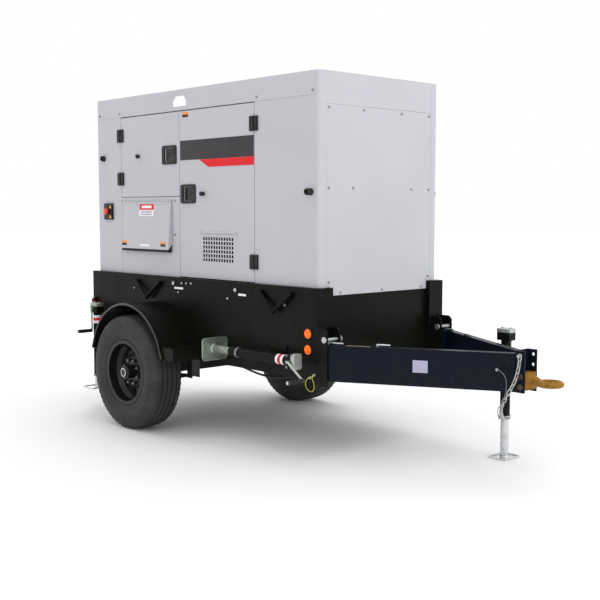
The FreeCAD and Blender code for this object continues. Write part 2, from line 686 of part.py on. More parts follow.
def canopy_door(label, side, x, z, hinge_x, leaf_to, hinge_heights, latch, knob, grille=None):
    """A pan-shaped door with its latch dish, holder knob and hinge sleeves, and its own paddle."""
    outer, inner = across(side, half_width, skin), across(side, half_width, half_width - S.door_depth)
    spans = ((x[0] + gap, x[1] - gap), (z[0] + gap, z[1] - gap))
    shell = box(spans[0], inner, spans[1])
    deep = across(side, skin, half_width - S.door_depth - 1)
    hollow = box((spans[0][0] + S.wall_gauge, spans[0][1] - S.wall_gauge), deep,
                 (spans[1][0] + S.wall_gauge, spans[1][1] - S.wall_gauge))
    wide, tall = S.latch_width / 2, S.latch_height / 2
    lx, lz = latch
    dish = box((lx - wide, lx + wide), across(side, half_width, half_width - DISH_DEEP),
               (lz - tall, lz + tall))
    cavity = box((lx - wide + SKIN_RIM, lx + wide - SKIN_RIM),
                 across(side, half_width + 1, half_width - DISH_DEEP + 3),
                 (lz - tall + SKIN_RIM, lz + tall - SKIN_RIM))
    knob_low = across(side, half_width + 16, half_width)[0]
    parts = [cut(shell, hollow), dish, rod("Y", (knob[0], knob_low, knob[1]), 10, 16)]
    fixed_halves = []
    for height in hinge_heights:
        fixed, moving = hinge_halves(hinge_x, side, height, leaf_to)
        parts.append(moving)
        fixed_halves.append(fixed)
    tools = [cavity] + ([grille] if grille else [])
    node(cut(fuse(*parts), *tools), label)

    edge = lx - (wide - SKIN_RIM - 9) * leaf_to
    handle = box((lx - wide + SKIN_RIM + PADDLE_FIT * 5, lx + wide - SKIN_RIM - PADDLE_FIT * 5),
                 across(side, half_width - PADDLE_DEEP, half_width - PADDLE_DEEP - 5),
                 (lz - tall + SKIN_RIM + PADDLE_FIT * 5, lz + tall - SKIN_RIM - PADDLE_FIT * 5))
    pin = rod("Z", (edge, (half_width - PADDLE_DEEP - 4) * side, lz - tall + SKIN_RIM + PADDLE_FIT),
              PADDLE_PIN,
              (tall - SKIN_RIM - PADDLE_FIT) * 2)
    node(fuse(handle, pin), label + "_latch")
    return fixed_halves


GRILLE_COLUMNS, GRILLE_ROWS, GRILLE_PITCH_X, GRILLE_PITCH_Z = 12, 6, 27.4, 28
grille_x, grille_z = front - 1112, 1160
main_grille = group(*[
    box((grille_x + column * GRILLE_PITCH_X, grille_x + column * GRILLE_PITCH_X + 18),
        (-half_width - 1, -skin + 1),
        (grille_z + row * GRILLE_PITCH_Z, grille_z + row * GRILLE_PITCH_Z + 20))
    for column in range(GRILLE_COLUMNS) for row in range(GRILLE_ROWS)])

door_sill = S.canopy_bottom + 3
hinge_pairs = []
hinge_pairs += canopy_door("control_door", RIGHT, (door_rear, door_split),
                           (S.control_door_sill, S.door_head), door_rear, 1,
                           (2035, 1724), (front - 1483, 1876), (door_rear + 230, 1880))
hinge_pairs += canopy_door("main_door", RIGHT, (door_split, door_front), (door_sill, S.door_head),
                           door_front, -1,
                           (2035, 1173), (front - 1270, 1607), (door_front - 518, 1606), main_grille)
hinge_pairs += canopy_door("engine_door", LEFT, (door_split, door_front), (door_sill, S.door_head),
                           door_front, -1,
                           (2035, 1173), (front - 1270, 1607), (door_front - 518, 1606))


def holder_socket(x, side, z):
    low = across(side, half_width + 26, half_width)[0]
    return cut(rod("Y", (x, low, z), 17, 26), rod("Y", (x, low - 1 if side < 0 else low + 10, z), 11, 17))


estop_x, estop_z, ESTOP_HALF, ESTOP_PROUD = front - 2255, 1488, 52, 18
STEM, HEAD = 11, 22
estop_housing = cut(
    box((estop_x - ESTOP_HALF, estop_x + ESTOP_HALF), across(RIGHT, half_width + ESTOP_PROUD, half_width),
        (estop_z - ESTOP_HALF - 8, estop_z + ESTOP_HALF + 8)),
    rod("Y", (estop_x, -half_width - ESTOP_PROUD - 1, estop_z), STEM + PIN_FIT, ESTOP_PROUD))
node(group(*hinge_pairs, estop_housing, holder_socket(door_rear - 230, RIGHT, 1880),
           holder_socket(door_front + 518, RIGHT, 1606), holder_socket(door_front + 518, LEFT, 1606)),
     "hinges_and_fittings")
stem_out = half_width + ESTOP_PROUD
node(fuse(rod("Y", (estop_x, -stem_out - 10, estop_z), STEM, 20),
          rod("Y", (estop_x, -stem_out - 24, estop_z), HEAD, 15)), "e_stop_button")

# ---------------------------------------------------------------- receptacle panel and its flap

panel_x = (door_rear + gap, door_split - gap)
panel_z = (S.canopy_bottom + CLEAR, S.control_door_sill - gap)
bay_x, bay_z = (front - 2050, front - 1470), (1225, 1545)
wall_y = across(RIGHT, half_width, skin)
bay_deep = 90
bay_back = half_width - bay_deep
side_y = across(RIGHT, skin, bay_back)
socket_low = -bay_back
sockets = [rod("Y", (front - 1980 + column * 110, socket_low - 14, 1300 + row * 110), 34, 14)
           for column in range(5) for row in range(2)]
flap_x = (front - 2062, front - 1460)
FLAP_TOP, FLAP_LOW, FLAP_OUT, FLAP_PIN = 1556, 1224, 34, 4
flap_axis_y, flap_axis_z = half_width + FLAP_PIN + 3, FLAP_TOP + FLAP_PIN + 1
flap_length = flap_x[1] - flap_x[0]


def flap_section(outline, x, length):
    part_body = pad(None, "YZ_Plane", [(-half_width - out, z) for out, z in outline], length)
    bind(part_body, {"Placement.Base.x": x})
    return part_body


leaf_outline = [(FLAP_PIN + 1, FLAP_TOP), (FLAP_OUT, FLAP_LOW), (FLAP_OUT + 3, FLAP_LOW),
                (FLAP_PIN + 5, FLAP_TOP)]
gusset_outline = [(2, FLAP_TOP), (2, FLAP_LOW + 40), (FLAP_OUT, FLAP_LOW), (FLAP_PIN + 2, FLAP_TOP)]
sleeve_length = 60
sleeves = [rod("X", (x, -flap_axis_y, flap_axis_z), FLAP_PIN + 2, sleeve_length)
           for x in (flap_x[0] + 40, flap_x[1] - 100)]
sleeve_tabs = [box((x, x + sleeve_length), (-flap_axis_y - 2, -flap_axis_y + 3), (FLAP_TOP - 4, flap_axis_z))
               for x in (flap_x[0] + 40, flap_x[1] - 100)]
flap_pin = rod("X", (flap_x[0], -flap_axis_y, flap_axis_z), FLAP_PIN, flap_length)
node(cut(fuse(flap_section(leaf_outline, flap_x[0], flap_length), flap_section(gusset_outline, flap_x[0], 3),
              flap_section(gusset_outline, flap_x[1] - 3, 3), *sleeves, *sleeve_tabs),
         rod("X", (flap_x[0] - 5, -flap_axis_y, flap_axis_z), FLAP_PIN + PIN_FIT, flap_length + 10)),
     "receptacle_flap")
pin_carriers = [cut(box((x, x + 24), across(RIGHT, flap_axis_y + 3, half_width),
                        (flap_axis_z - 3, flap_axis_z + 8)),
                    rod("X", (x - 1, -flap_axis_y, flap_axis_z), FLAP_PIN + PIN_FIT, 26))
                for x in (flap_x[0] + 6, flap_x[1] - 30)]
node(group(
    box((panel_x[0], bay_x[0]), wall_y, panel_z), box((bay_x[1], panel_x[1]), wall_y, panel_z),
    box(bay_x, wall_y, (panel_z[0], bay_z[0])), box(bay_x, wall_y, (bay_z[1], panel_z[1])),
    box((bay_x[0] - 3, bay_x[0]), side_y, bay_z), box((bay_x[1], bay_x[1] + 3), side_y, bay_z),
    box(bay_x, side_y, (bay_z[1], bay_z[1] + 3)),
    box((bay_x[0] - 3, bay_x[1] + 3), across(RIGHT, bay_back, bay_back - 3), (bay_z[0], bay_z[1] + 3)),
    *sockets, flap_pin, *pin_carriers), "receptacle_panel")

# ---------------------------------------------------------------- wheels

tyre_half = S.tyre_width / 2
tyre_wall = 13


def tyre_section():
    """The tyre's outer profile from bead to bead, then its inside back again, as (radius, across)."""
    r, w = S.tyre_radius, tyre_half
    outer = [(S.rim_radius + CLEAR, w * 0.72), (S.rim_lip + 4, w * 0.80), (S.rim_lip + 38, w * 0.95),
             (S.rim_lip + 85, w), (r - 38, w * 0.96), (r - 13, w * 0.84), (r - 3, w * 0.68), (r, w * 0.45)]
    inner = [(r - tyre_wall, w * 0.45), (r - tyre_wall - 4, w * 0.66), (r - tyre_wall - 16, w * 0.78),
             (r - 46, w * 0.85), (S.rim_lip + 80, w * 0.89), (S.rim_lip + 38, w * 0.84),
             (S.rim_radius + 20, w * 0.66),
             (S.rim_radius + CLEAR, w * 0.58)]
    half_outer = outer + [(radius, -along) for radius, along in reversed(outer)]
    half_inner = [(radius, -along) for radius, along in reversed(inner)] + inner
    return half_outer + half_inner


tyre = revolve("tyre_right", tyre_section())
place(tyre, axle_x, -wheel_y, S.tyre_radius)
node(mirror(tyre), "tyre_left")

rim_half = tyre_half * 0.84
BARREL = 5
seat = S.rim_radius
lip_in = tyre_half * 0.81
rim_section = [(seat, -lip_in), (S.rim_lip, -lip_in), (S.rim_lip, -rim_half - 4),
               (seat - BARREL, -rim_half - 4),
               (seat - BARREL, -40), (seat - 30, -12), (seat - 30, 12), (seat - BARREL, 40),
               (seat - BARREL, rim_half + 4), (S.rim_lip, rim_half + 4), (S.rim_lip, lip_in), (seat, lip_in),
               (seat, 44), (seat - 24, 14), (seat - 24, -14), (seat, -44)]
PCD, NUTS, HAND_HOLE, DISC = 165.1, 8, 17, 7
disc_section = [(24, -34), (100, -34), (122, -22), (150, -20), (seat - 26, -4), (seat - 26, -4 + DISC),
                (150, -20 + DISC),
                (122, -22 + DISC), (100, -34 + DISC), (24, -34 + DISC)]
barrel = revolve(None, rim_section)
disc = revolve(None, disc_section)
hub = rod("Y", (0, -96, 0), 46, 120)
cap = rod("Y", (0, -112, 0), 27, 16)
nuts = [rod("Y", (PCD / 2 * math.cos(turn), -50, PCD / 2 * math.sin(turn)), 12, 18)
        for turn in (2 * math.pi * (number + 0.5) / NUTS for number in range(NUTS))]
hand_holes = [rod("Y", (136 * math.cos(turn), -40, 136 * math.sin(turn)), HAND_HOLE, 60)
              for turn in (2 * math.pi * number / NUTS for number in range(NUTS))]
hub_bore = rod("Y", (0, -hub_face + wheel_y - 1, 0), SPINDLE + PIN_FIT, hub_face)
wheel = cut(fuse(barrel, disc, hub, cap, *nuts), *hand_holes, hub_bore)
wheel_right = group(wheel)
place(wheel_right, axle_x, -wheel_y, S.tyre_radius)
node(wheel_right, "wheel_right")
node(mirror(wheel_right), "wheel_left")

# ---------------------------------------------------------------- jacks


class Jack:
    """A side-wind jack drawn along its leg: `a` runs down the leg, `across` to its side."""

    def __init__(self, name, head, stowed, crank_side, tube_end, foot_end, arm_angle):
        self.name, self.head, self.stowed, self.side = name, head, stowed, crank_side
        self.tube_end, self.foot_end, self.arm_angle = tube_end, foot_end, arm_angle

    def point(self, a, sideways, y=0):
        x0, y0, z0 = self.head
        if self.stowed:
            return x0 - a, y0 + y, z0 - sideways
        return x0 + sideways, y0 + y, z0 - a

    def block(self, a, sideways, y):
        low, high = self.point(a[1], sideways[0], y[0]), self.point(a[0], sideways[1], y[1])
        return box(*[(min(pair, key=lambda size: as_size(size).value),
                      max(pair, key=lambda size: as_size(size).value))
                     for pair in zip(low, high)])

    def along(self, a, radius):
        start = self.point(a[1], 0)
        return rod("X" if self.stowed else "Z", start, radius, as_size(a[1]) - a[0])

    def build(self, *mounting):
        head_high = S.jack_head_height
        half = S.jack_head_width / 2
        bore = S.jack_leg_radius + S.jack_fit
        head = self.block((0, head_high), (-half, half), (-32, 32))
        outer = cut(fuse(self.along((head_high, self.tube_end), S.jack_tube_radius), head, *mounting),
                    self.along((head_high + 4, self.tube_end + 1), bore))
        node(outer, self.name + "_tube")

        travel_top = head_high + self.retract() + 10
        leg = cut(self.along((travel_top, self.foot_end - S.jack_foot_gauge), S.jack_leg_radius),
                  self.along((travel_top - 1, self.foot_end - S.jack_foot_gauge),
                             S.jack_leg_radius - S.jack_wall))
        foot = self.block((self.foot_end - S.jack_foot_gauge, self.foot_end),
                          (-S.jack_foot_width / 2, S.jack_foot_width / 2),
                          (-S.jack_foot_length / 2, S.jack_foot_length / 2))
        node(fuse(leg, foot), self.name + "_leg")

        reach = 32 + 24
        near = min(32.3 * self.side, reach * self.side)
        axle = rod("Y", self.point(head_high / 2, 0, near), S.crank_rod_radius + 1, reach - 32.3)
        turn = math.radians(self.arm_angle)
        arm_way = Vector(math.cos(turn), 0, math.sin(turn))
        start = self.point(head_high / 2, 0, (reach - 8) * self.side)
        arm = rod("Z", start, S.crank_rod_radius, S.crank_arm, Rotation(Vector(0, 0, 1), arm_way))
        tip = [as_size(start[0]) + S.crank_arm * arm_way.x, start[1],
               as_size(start[2]) + S.crank_arm * arm_way.z]
        grip_start = tip[1] if self.side > 0 else as_size(tip[1]) - S.crank_grip
        grip = rod("Y", (tip[0], grip_start, tip[2]), 12, S.crank_grip)
        node(fuse(axle, arm, grip), self.name + "_crank")

    def retract(self):
        return self.foot_end - S.jack_foot_gauge - self.tube_end - 5


front_jack_x, front_jack_y = 680, 382
contact = [(front + at, beam_face(at) + CLEAR) for at in (front_jack_x - 45, front_jack_x + 45)]
bracket_outline = contact + [(front + front_jack_x + 34, front_jack_y - 14),
                             (front + front_jack_x - 34, front_jack_y - 14)]
front_bracket = pad(None, "XY_Plane", bracket_outline, 130)
bind(front_bracket, {"Placement.Base.z": S.beam_top - 165})
Jack("front_jack", (front + front_jack_x, front_jack_y, 785), False, LEFT, 545, 785, -90).build(front_bracket)

rear_jack_x, rear_jack_y = front - 2305, -half_base - S.jack_tube_radius - 26
rear_bracket = box((rear_jack_x - 34, rear_jack_x + 34), (rear_jack_y + 12, -half_base - CLEAR), (560, 690))
Jack("rear_jack", (rear_jack_x, rear_jack_y, 800), False, RIGHT, 545, 630, -90).build(rear_bracket)

side_jack_y, side_jack_z = -half_base - 104, 615
pivot_x = front - 290
COLLAR, PIVOT_PIN = 38, 10
collar_inner = -half_base - 42
collar = rod("Y", (pivot_x, side_jack_y, side_jack_z), COLLAR, collar_inner - side_jack_y)
side_jack = Jack("side_jack", (front - 30, side_jack_y, side_jack_z), True, RIGHT, 615, 785, -35)
side_collar = cut(collar, rod("Y", (pivot_x, collar_inner - 22, side_jack_z), PIVOT_PIN + PIN_FIT, 30))
side_jack.build(side_collar)
jack_pivot = fuse(
    box((pivot_x - 60, pivot_x + 60), (-half_base - 10, -half_base), (side_jack_z - 65, side_jack_z + 65)),
    rod("Y", (pivot_x, collar_inner + CLEAR, side_jack_z), COLLAR, 41.7),
    rod("Y", (pivot_x, collar_inner - 20, side_jack_z), PIVOT_PIN, 50))
node(group(*ears, fender_step(RIGHT), fender_step(LEFT), jack_pivot, *tie_bars), "frame_brackets")

# ---------------------------------------------------------------- generator set

mount_top = rail_top + 40
engine_front = front - 560
engine_rear = engine_front - S.engine_length
engine_half = S.engine_width / 2
engine_top = mount_top + S.engine_height
node(group(*[rod("Z", (x, 260 * side, rail_top), 30, 40)
             for x in (engine_front - 90, engine_rear + 90, engine_rear - 400) for side in (RIGHT, LEFT)]),
     "vibration_mounts")
feet = [box((x - 45, x + 45), (-300, 300), (mount_top, mount_top + 14))
        for x in (engine_front - 90, engine_rear + 90)]
crankcase = box((engine_rear, engine_front), (-engine_half, engine_half), (mount_top + 14, engine_top - 190))
cylinder_head = box((engine_rear + 60, engine_front - 60), (-engine_half + 70, engine_half - 70),
                    (engine_top - 190, engine_top - 70))
rocker_cover = box((engine_rear + 90, engine_front - 90), (-engine_half + 100, engine_half - 100),
                   (engine_top - 70, engine_top))
manifold = box((exhaust_x - 160, exhaust_x + 60), (engine_half - 70, engine_half - 5),
               (engine_top - 165, engine_top - 100))
fan_z = mount_top + 300
stub = rod("X", (engine_front, 0, fan_z), 38, 28)
shaft_pin = rod("X", (engine_front, 0, fan_z), 12, 60)
node(fuse(crankcase, cylinder_head, rocker_cover, manifold, stub, shaft_pin, *feet), "engine")

alternator_z = mount_top + 14 + S.alternator_radius
alternator_end = engine_rear - S.alternator_length
alternator_foot = box((engine_rear - 450, engine_rear - 350), (-300, 300), (mount_top, mount_top + 14))
terminal_box = box((alternator_end + 60, alternator_end + 330), (-140, 140),
                   (alternator_z + S.alternator_radius - 20, alternator_z + S.alternator_radius + 130))
node(fuse(rod("X", (alternator_end, 0, alternator_z), S.alternator_radius, S.alternator_length),
          box((engine_rear - 450, engine_rear - 350), (-180, 180), (mount_top, alternator_z)),
          alternator_foot,
          terminal_box), "alternator")

BLADES = 7
fan_x = engine_front + 29
fan_hub = cut(rod("X", (fan_x, 0, fan_z), 60, 40), rod("X", (fan_x - 1, 0, fan_z), 12 + PIN_FIT, 36))


def fan_blade(turn):
    blade = doc.addObject("Part::Box", "Blade")
    bind(blade, {"Length": 5, "Width": 70, "Height": S.fan_radius - 50})
    roll = Rotation(Vector(1, 0, 0), turn) * Rotation(Vector(0, 0, 1), 32)
    corner = roll.multVec(Vector(-2.5, -35, 50))
    blade.Placement = Placement(Vector(), roll)
    return place(blade, fan_x + 20 + corner.x, corner.y, fan_z + corner.z)


node(fuse(fan_hub, *[fan_blade(360 / BLADES * number) for number in range(BLADES)]), "cooling_fan")

radiator_front = radiator_rear + S.radiator_depth
radiator_floor = rail_top
core = box((radiator_rear, radiator_front), (-S.radiator_width / 2, S.radiator_width / 2),
           (radiator_floor, radiator_floor + S.radiator_height))
node(core, "radiator")

cleaner_z = engine_top + 90
node(fuse(rod("X", (engine_rear + 120, -60, cleaner_z), 80, 330),
          box((engine_rear + 160, engine_rear + 400), (-100, -20), (engine_top, cleaner_z))), "air_cleaner")
muffler_z = 1800
pipe_bottom = engine_top - 100
node(fuse(rod("X", (exhaust_x - 420, exhaust_y, muffler_z), 100, 480),
          rod("Z", (exhaust_x - 40, exhaust_y, pipe_bottom), 28, muffler_z - pipe_bottom),
          rod("Z", (exhaust_x, exhaust_y, muffler_z), 30, S.canopy_top - 15 - muffler_z)), "muffler")
node(fuse(box((canopy_rear + 30, canopy_rear + 205), (260, 500), (rail_top, rail_top + 190)),
          *[rod("Z", (canopy_rear + 118, y, rail_top + 190), 9, 18) for y in (300, 460)]), "battery")

control_rear, control_front = front - 2060, front - 1410
node(fuse(box((control_rear, control_front), across(RIGHT, post_inner - 40, post_inner - 250),
              (1600, header[0] - 5)),
          box((control_rear, control_rear + 40), across(RIGHT, post_inner - 40, post_inner - 80),
              (tank_floor + S.tank_height, 1600)),
          box((control_front - 40, control_front), across(RIGHT, post_inner - 40, post_inner - 80),
              (tank_floor + S.tank_height, 1600))),
     "control_cabinet")

# ---------------------------------------------------------------- chain, cables and lanyard

LINK_WIRE, LINK_PITCH, LINK_WIDE = 3.5, 33, 8.5
LINK_INSIDE = LINK_PITCH + 1


def chain_link(centre, way, roll):
    """One closed oval link lying along `way`, rolled about it."""
    straight = LINK_INSIDE - 2 * (LINK_WIDE - LINK_WIRE)
    pieces = [Part.makeCylinder(LINK_WIRE, straight, Vector(-straight / 2, 0, z), Vector(1, 0, 0))
              for z in (-LINK_WIDE, LINK_WIDE)]
    for end in (1, -1):
        bend = Part.makeTorus(LINK_WIDE, LINK_WIRE, Vector(), Vector(0, 1, 0))
        keep = Part.makeBox(60, 20, 60, Vector(0 if end > 0 else -60, -10, -30))
        pieces.append(bend.common(keep).translated(Vector(end * straight / 2, 0, 0)))
    link = pieces[0].fuse(pieces[1:])
    link.Placement = Placement(centre, Rotation(Vector(1, 0, 0), way) * Rotation(Vector(1, 0, 0), roll))
    return link


def chain(label):
    """Links hung from a stud on the coupler, led under the beam to a ring on the front jack's tube."""
    stud_y, stud_z = S.beam_tip_half.value, flange_holes[3].value
    hang = (front + S.beam_tip + S.channel_flange - 22).value
    route = [(hang, 72, stud_z + 6), (hang - 4, 78, 640), (hang - 22, 92, 560), (hang - 62, 98, 486),
             (hang - 140, 40, 400),
             (hang - 262, -145, 290), (hang - 345, -262, 252), (hang - 399, -345, 258)]
    curve = Part.BSplineCurve()
    curve.interpolate([Vector(x, -y, z) for x, y, z in route])
    spots = curve.toShape().discretize(Number=round(curve.length() / LINK_PITCH) + 1)
    links = [chain_link((a + b) * 0.5, b - a, 90 * (number % 2))
             for number, (a, b) in enumerate(zip(spots, spots[1:]))]
    jack = Vector((front + front_jack_x).value, front_jack_y, 258)
    ring = Part.makeTorus(S.jack_tube_radius.value + LINK_WIRE + 0.5, LINK_WIRE, jack, Vector(0, 0, 1))
    stud = Part.makeCylinder(4.5, 24, Vector(hang, -stud_y, stud_z), Vector(0, -1, 0))
    head = Part.makeCylinder(9, 6, Vector(hang, -stud_y - 24, stud_z), Vector(0, -1, 0))
    item = doc.addObject("Part::Feature", "Chain")
    item.Shape = Part.makeCompound([stud.fuse(head), ring] + links)
    return node(item, label)


chain("safety_chain")


def cord_tube(label, route, diameter):
    """A cord as straight runs joined by tangent arcs, each arc as large as its two runs allow."""
    points = [Vector(*point) for point in route]
    edges, start = [], points[0]
    for before, corner, after in zip(points, points[1:], points[2:]):
        back, ahead = (before - corner), (after - corner)
        setback = 0.45 * min(back.Length, ahead.Length)
        half_turn = (math.pi - back.getAngle(ahead)) / 2
        radius = setback / math.tan(half_turn)
        print(f"{label}: radius {radius:.1f}, {radius / diameter:.1f} diameters")
        enter, leave = corner + back.normalize() * setback, corner + ahead.normalize() * setback
        inward = (back + ahead).normalize()
        middle = corner + inward * (radius / math.cos(half_turn) - radius)
        edges += [Part.LineSegment(start, enter).toShape(), Part.Arc(enter, middle, leave).toShape()]
        start = leave
    edges.append(Part.LineSegment(start, points[-1]).toShape())
    path = Part.Wire(edges)
    first = (points[1] - points[0]).normalize()
    ring = Part.Wire(Part.makeCircle(diameter / 2, points[0], first))
    item = doc.addObject("Part::Feature", "Cord")
    item.Shape = path.makePipeShell([ring], True, True)
    section = math.pi * (diameter / 2) ** 2
    print(f"{label}: length {path.Length:.1f}, volume ratio {item.Shape.Volume / section / path.Length:.4f}")
    return node(item, label)


LANYARD_DIAMETER = 4
near_side, ahead = -(S.base_width / 2).value, front.value
lanyard_route = [(-20, -9, 17), (-20, -22, 17), (-24, -32, 9), (-33, -35, -10), (-34, -33, -33),
                 (-20, -30, -53), (4, -29, -63), (29, -31, -55), (43, -34, -34), (41, -37, -8),
                 (31, -37, 13), (18, -32, 28), (12, -21, 35), (12, -9, 35)]
base_low = S.base_bottom.value
cord_tube("lanyard", [(ahead + x, near_side + y, base_low + z) for x, y, z in lanyard_route],
          LANYARD_DIAMETER)

CABLE_DIAMETER = 4
cable_route = [(982, -116, 626), (991, -132, 628), (1014, -146, 630), (1043, -150, 622), (1063, -146, 595),
               (1066, -140, 549), (1055, -137, 498), (1028, -127, 452), (988, -98, 418), (948, -58, 390),
               (912, -8, 362), (880, 44, 334), (850, 93, 310), (816, 138, 292), (782, 183, 277),
               (748, 226, 266), (719, 270, 259), (698, 308, 256), (684, 343, 257)]
cord_tube("breakaway_cable", [(ahead + x, y, z) for x, y, z in cable_route], CABLE_DIAMETER)

HOSE_DIAMETER = 14
hose_route = [(hose_ends[0], 0, 0), (-872, 0, 0), (-780, -1, -14), (-690, -3, -30), (-590, -2, -42),
              (-490, 1, -43), (-398, 3, -33), (-312, 2, -17), (-250, 0, 0), (hose_ends[1], 0, 0)]
hose_start = (-hose_y).value, hose_z.value
cord_tube("underfloor_hose", [(ahead + x, hose_start[0] + y, hose_start[1] + z) for x, y, z in hose_route],
          HOSE_DIAMETER)

# ---------------------------------------------------------------- check and write

doc.recompute()
failed = [item.Name for item in doc.Objects if {"Invalid", "Error"} & set(item.State)]
if failed:
    raise RuntimeError(f"objects that did not recompute: {failed}")
labels = [item.Label for item in nodes]
if len(set(labels)) != len(labels):
    raise RuntimeError("two sub-parts share a name")
os.makedirs("parts", exist_ok=True)
for item in nodes:
    if item.Shape.isNull() or not item.Shape.isValid():
        raise RuntimeError(f"{item.Label} has no valid shape")
for item in nodes:
    item.Shape.exportStep(f"parts/{item.Label}.step")
print(len(nodes), "sub-parts")
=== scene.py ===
"""The looks of a towable diesel generator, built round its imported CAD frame.

Metres, +X towards the tow eye, +Y the left side, +Z up, the ground at z = 0.
"""

import json
import math

import bmesh
import bpy
from mathutils import Matrix, Vector


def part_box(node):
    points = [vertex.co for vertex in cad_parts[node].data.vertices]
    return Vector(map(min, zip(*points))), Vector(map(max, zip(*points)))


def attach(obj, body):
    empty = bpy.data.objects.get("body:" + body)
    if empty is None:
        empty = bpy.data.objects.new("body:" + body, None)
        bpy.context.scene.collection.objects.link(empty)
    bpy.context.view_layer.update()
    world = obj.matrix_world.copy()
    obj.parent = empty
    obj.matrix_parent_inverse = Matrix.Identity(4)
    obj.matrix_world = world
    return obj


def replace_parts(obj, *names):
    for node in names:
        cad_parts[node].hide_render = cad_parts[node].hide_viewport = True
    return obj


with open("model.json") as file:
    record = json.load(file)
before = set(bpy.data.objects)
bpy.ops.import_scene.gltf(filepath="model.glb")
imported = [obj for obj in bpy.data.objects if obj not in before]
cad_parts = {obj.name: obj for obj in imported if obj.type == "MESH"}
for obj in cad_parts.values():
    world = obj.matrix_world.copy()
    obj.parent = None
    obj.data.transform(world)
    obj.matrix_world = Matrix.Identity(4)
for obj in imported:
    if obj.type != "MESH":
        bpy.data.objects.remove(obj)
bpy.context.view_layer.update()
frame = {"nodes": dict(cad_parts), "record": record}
scene = bpy.context.scene
MM = 0.001

# ---------------------------------------------------------------- places taken from the frame


def span(node, axis):
    """The (low, high) pair of a CAD node along an axis number."""
    low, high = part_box(node)
    return low[axis], high[axis]


X, Y, Z = 0, 1, 2
RIGHT, LEFT = -1, 1
FRONT = span("front_service_panel", X)[1]
SKIN = -span("canopy_side_right", Y)[0]
SILL = -span("side_plate_right", Y)[0]
BASE_LOW = span("side_plate_right", Z)[0]
AXLE_X, AXLE_Z = sum(span("tyre_right", X)) / 2, sum(span("tyre_right", Z)) / 2
WHEEL_Y = sum(span("tyre_left", Y)) / 2
TYRE_RADIUS = span("tyre_right", X)[1] - AXLE_X
TYRE_HALF = span("tyre_left", Y)[1] - WHEEL_Y
SHARP_ANGLE = math.radians(32)


def ahead(distance):
    """An x measured forwards from the canopy's front wall."""
    return FRONT + distance


# ---------------------------------------------------------------- finishes


def linear(red, green, blue):
    """A display colour from 0 to 255 as the linear colour that a shader takes."""
    shares = (red / 255, green / 255, blue / 255)
    return (*[share / 12.92 if share < 0.0393 else ((share + 0.055) / 1.055) ** 2.4 for share in shares], 1)


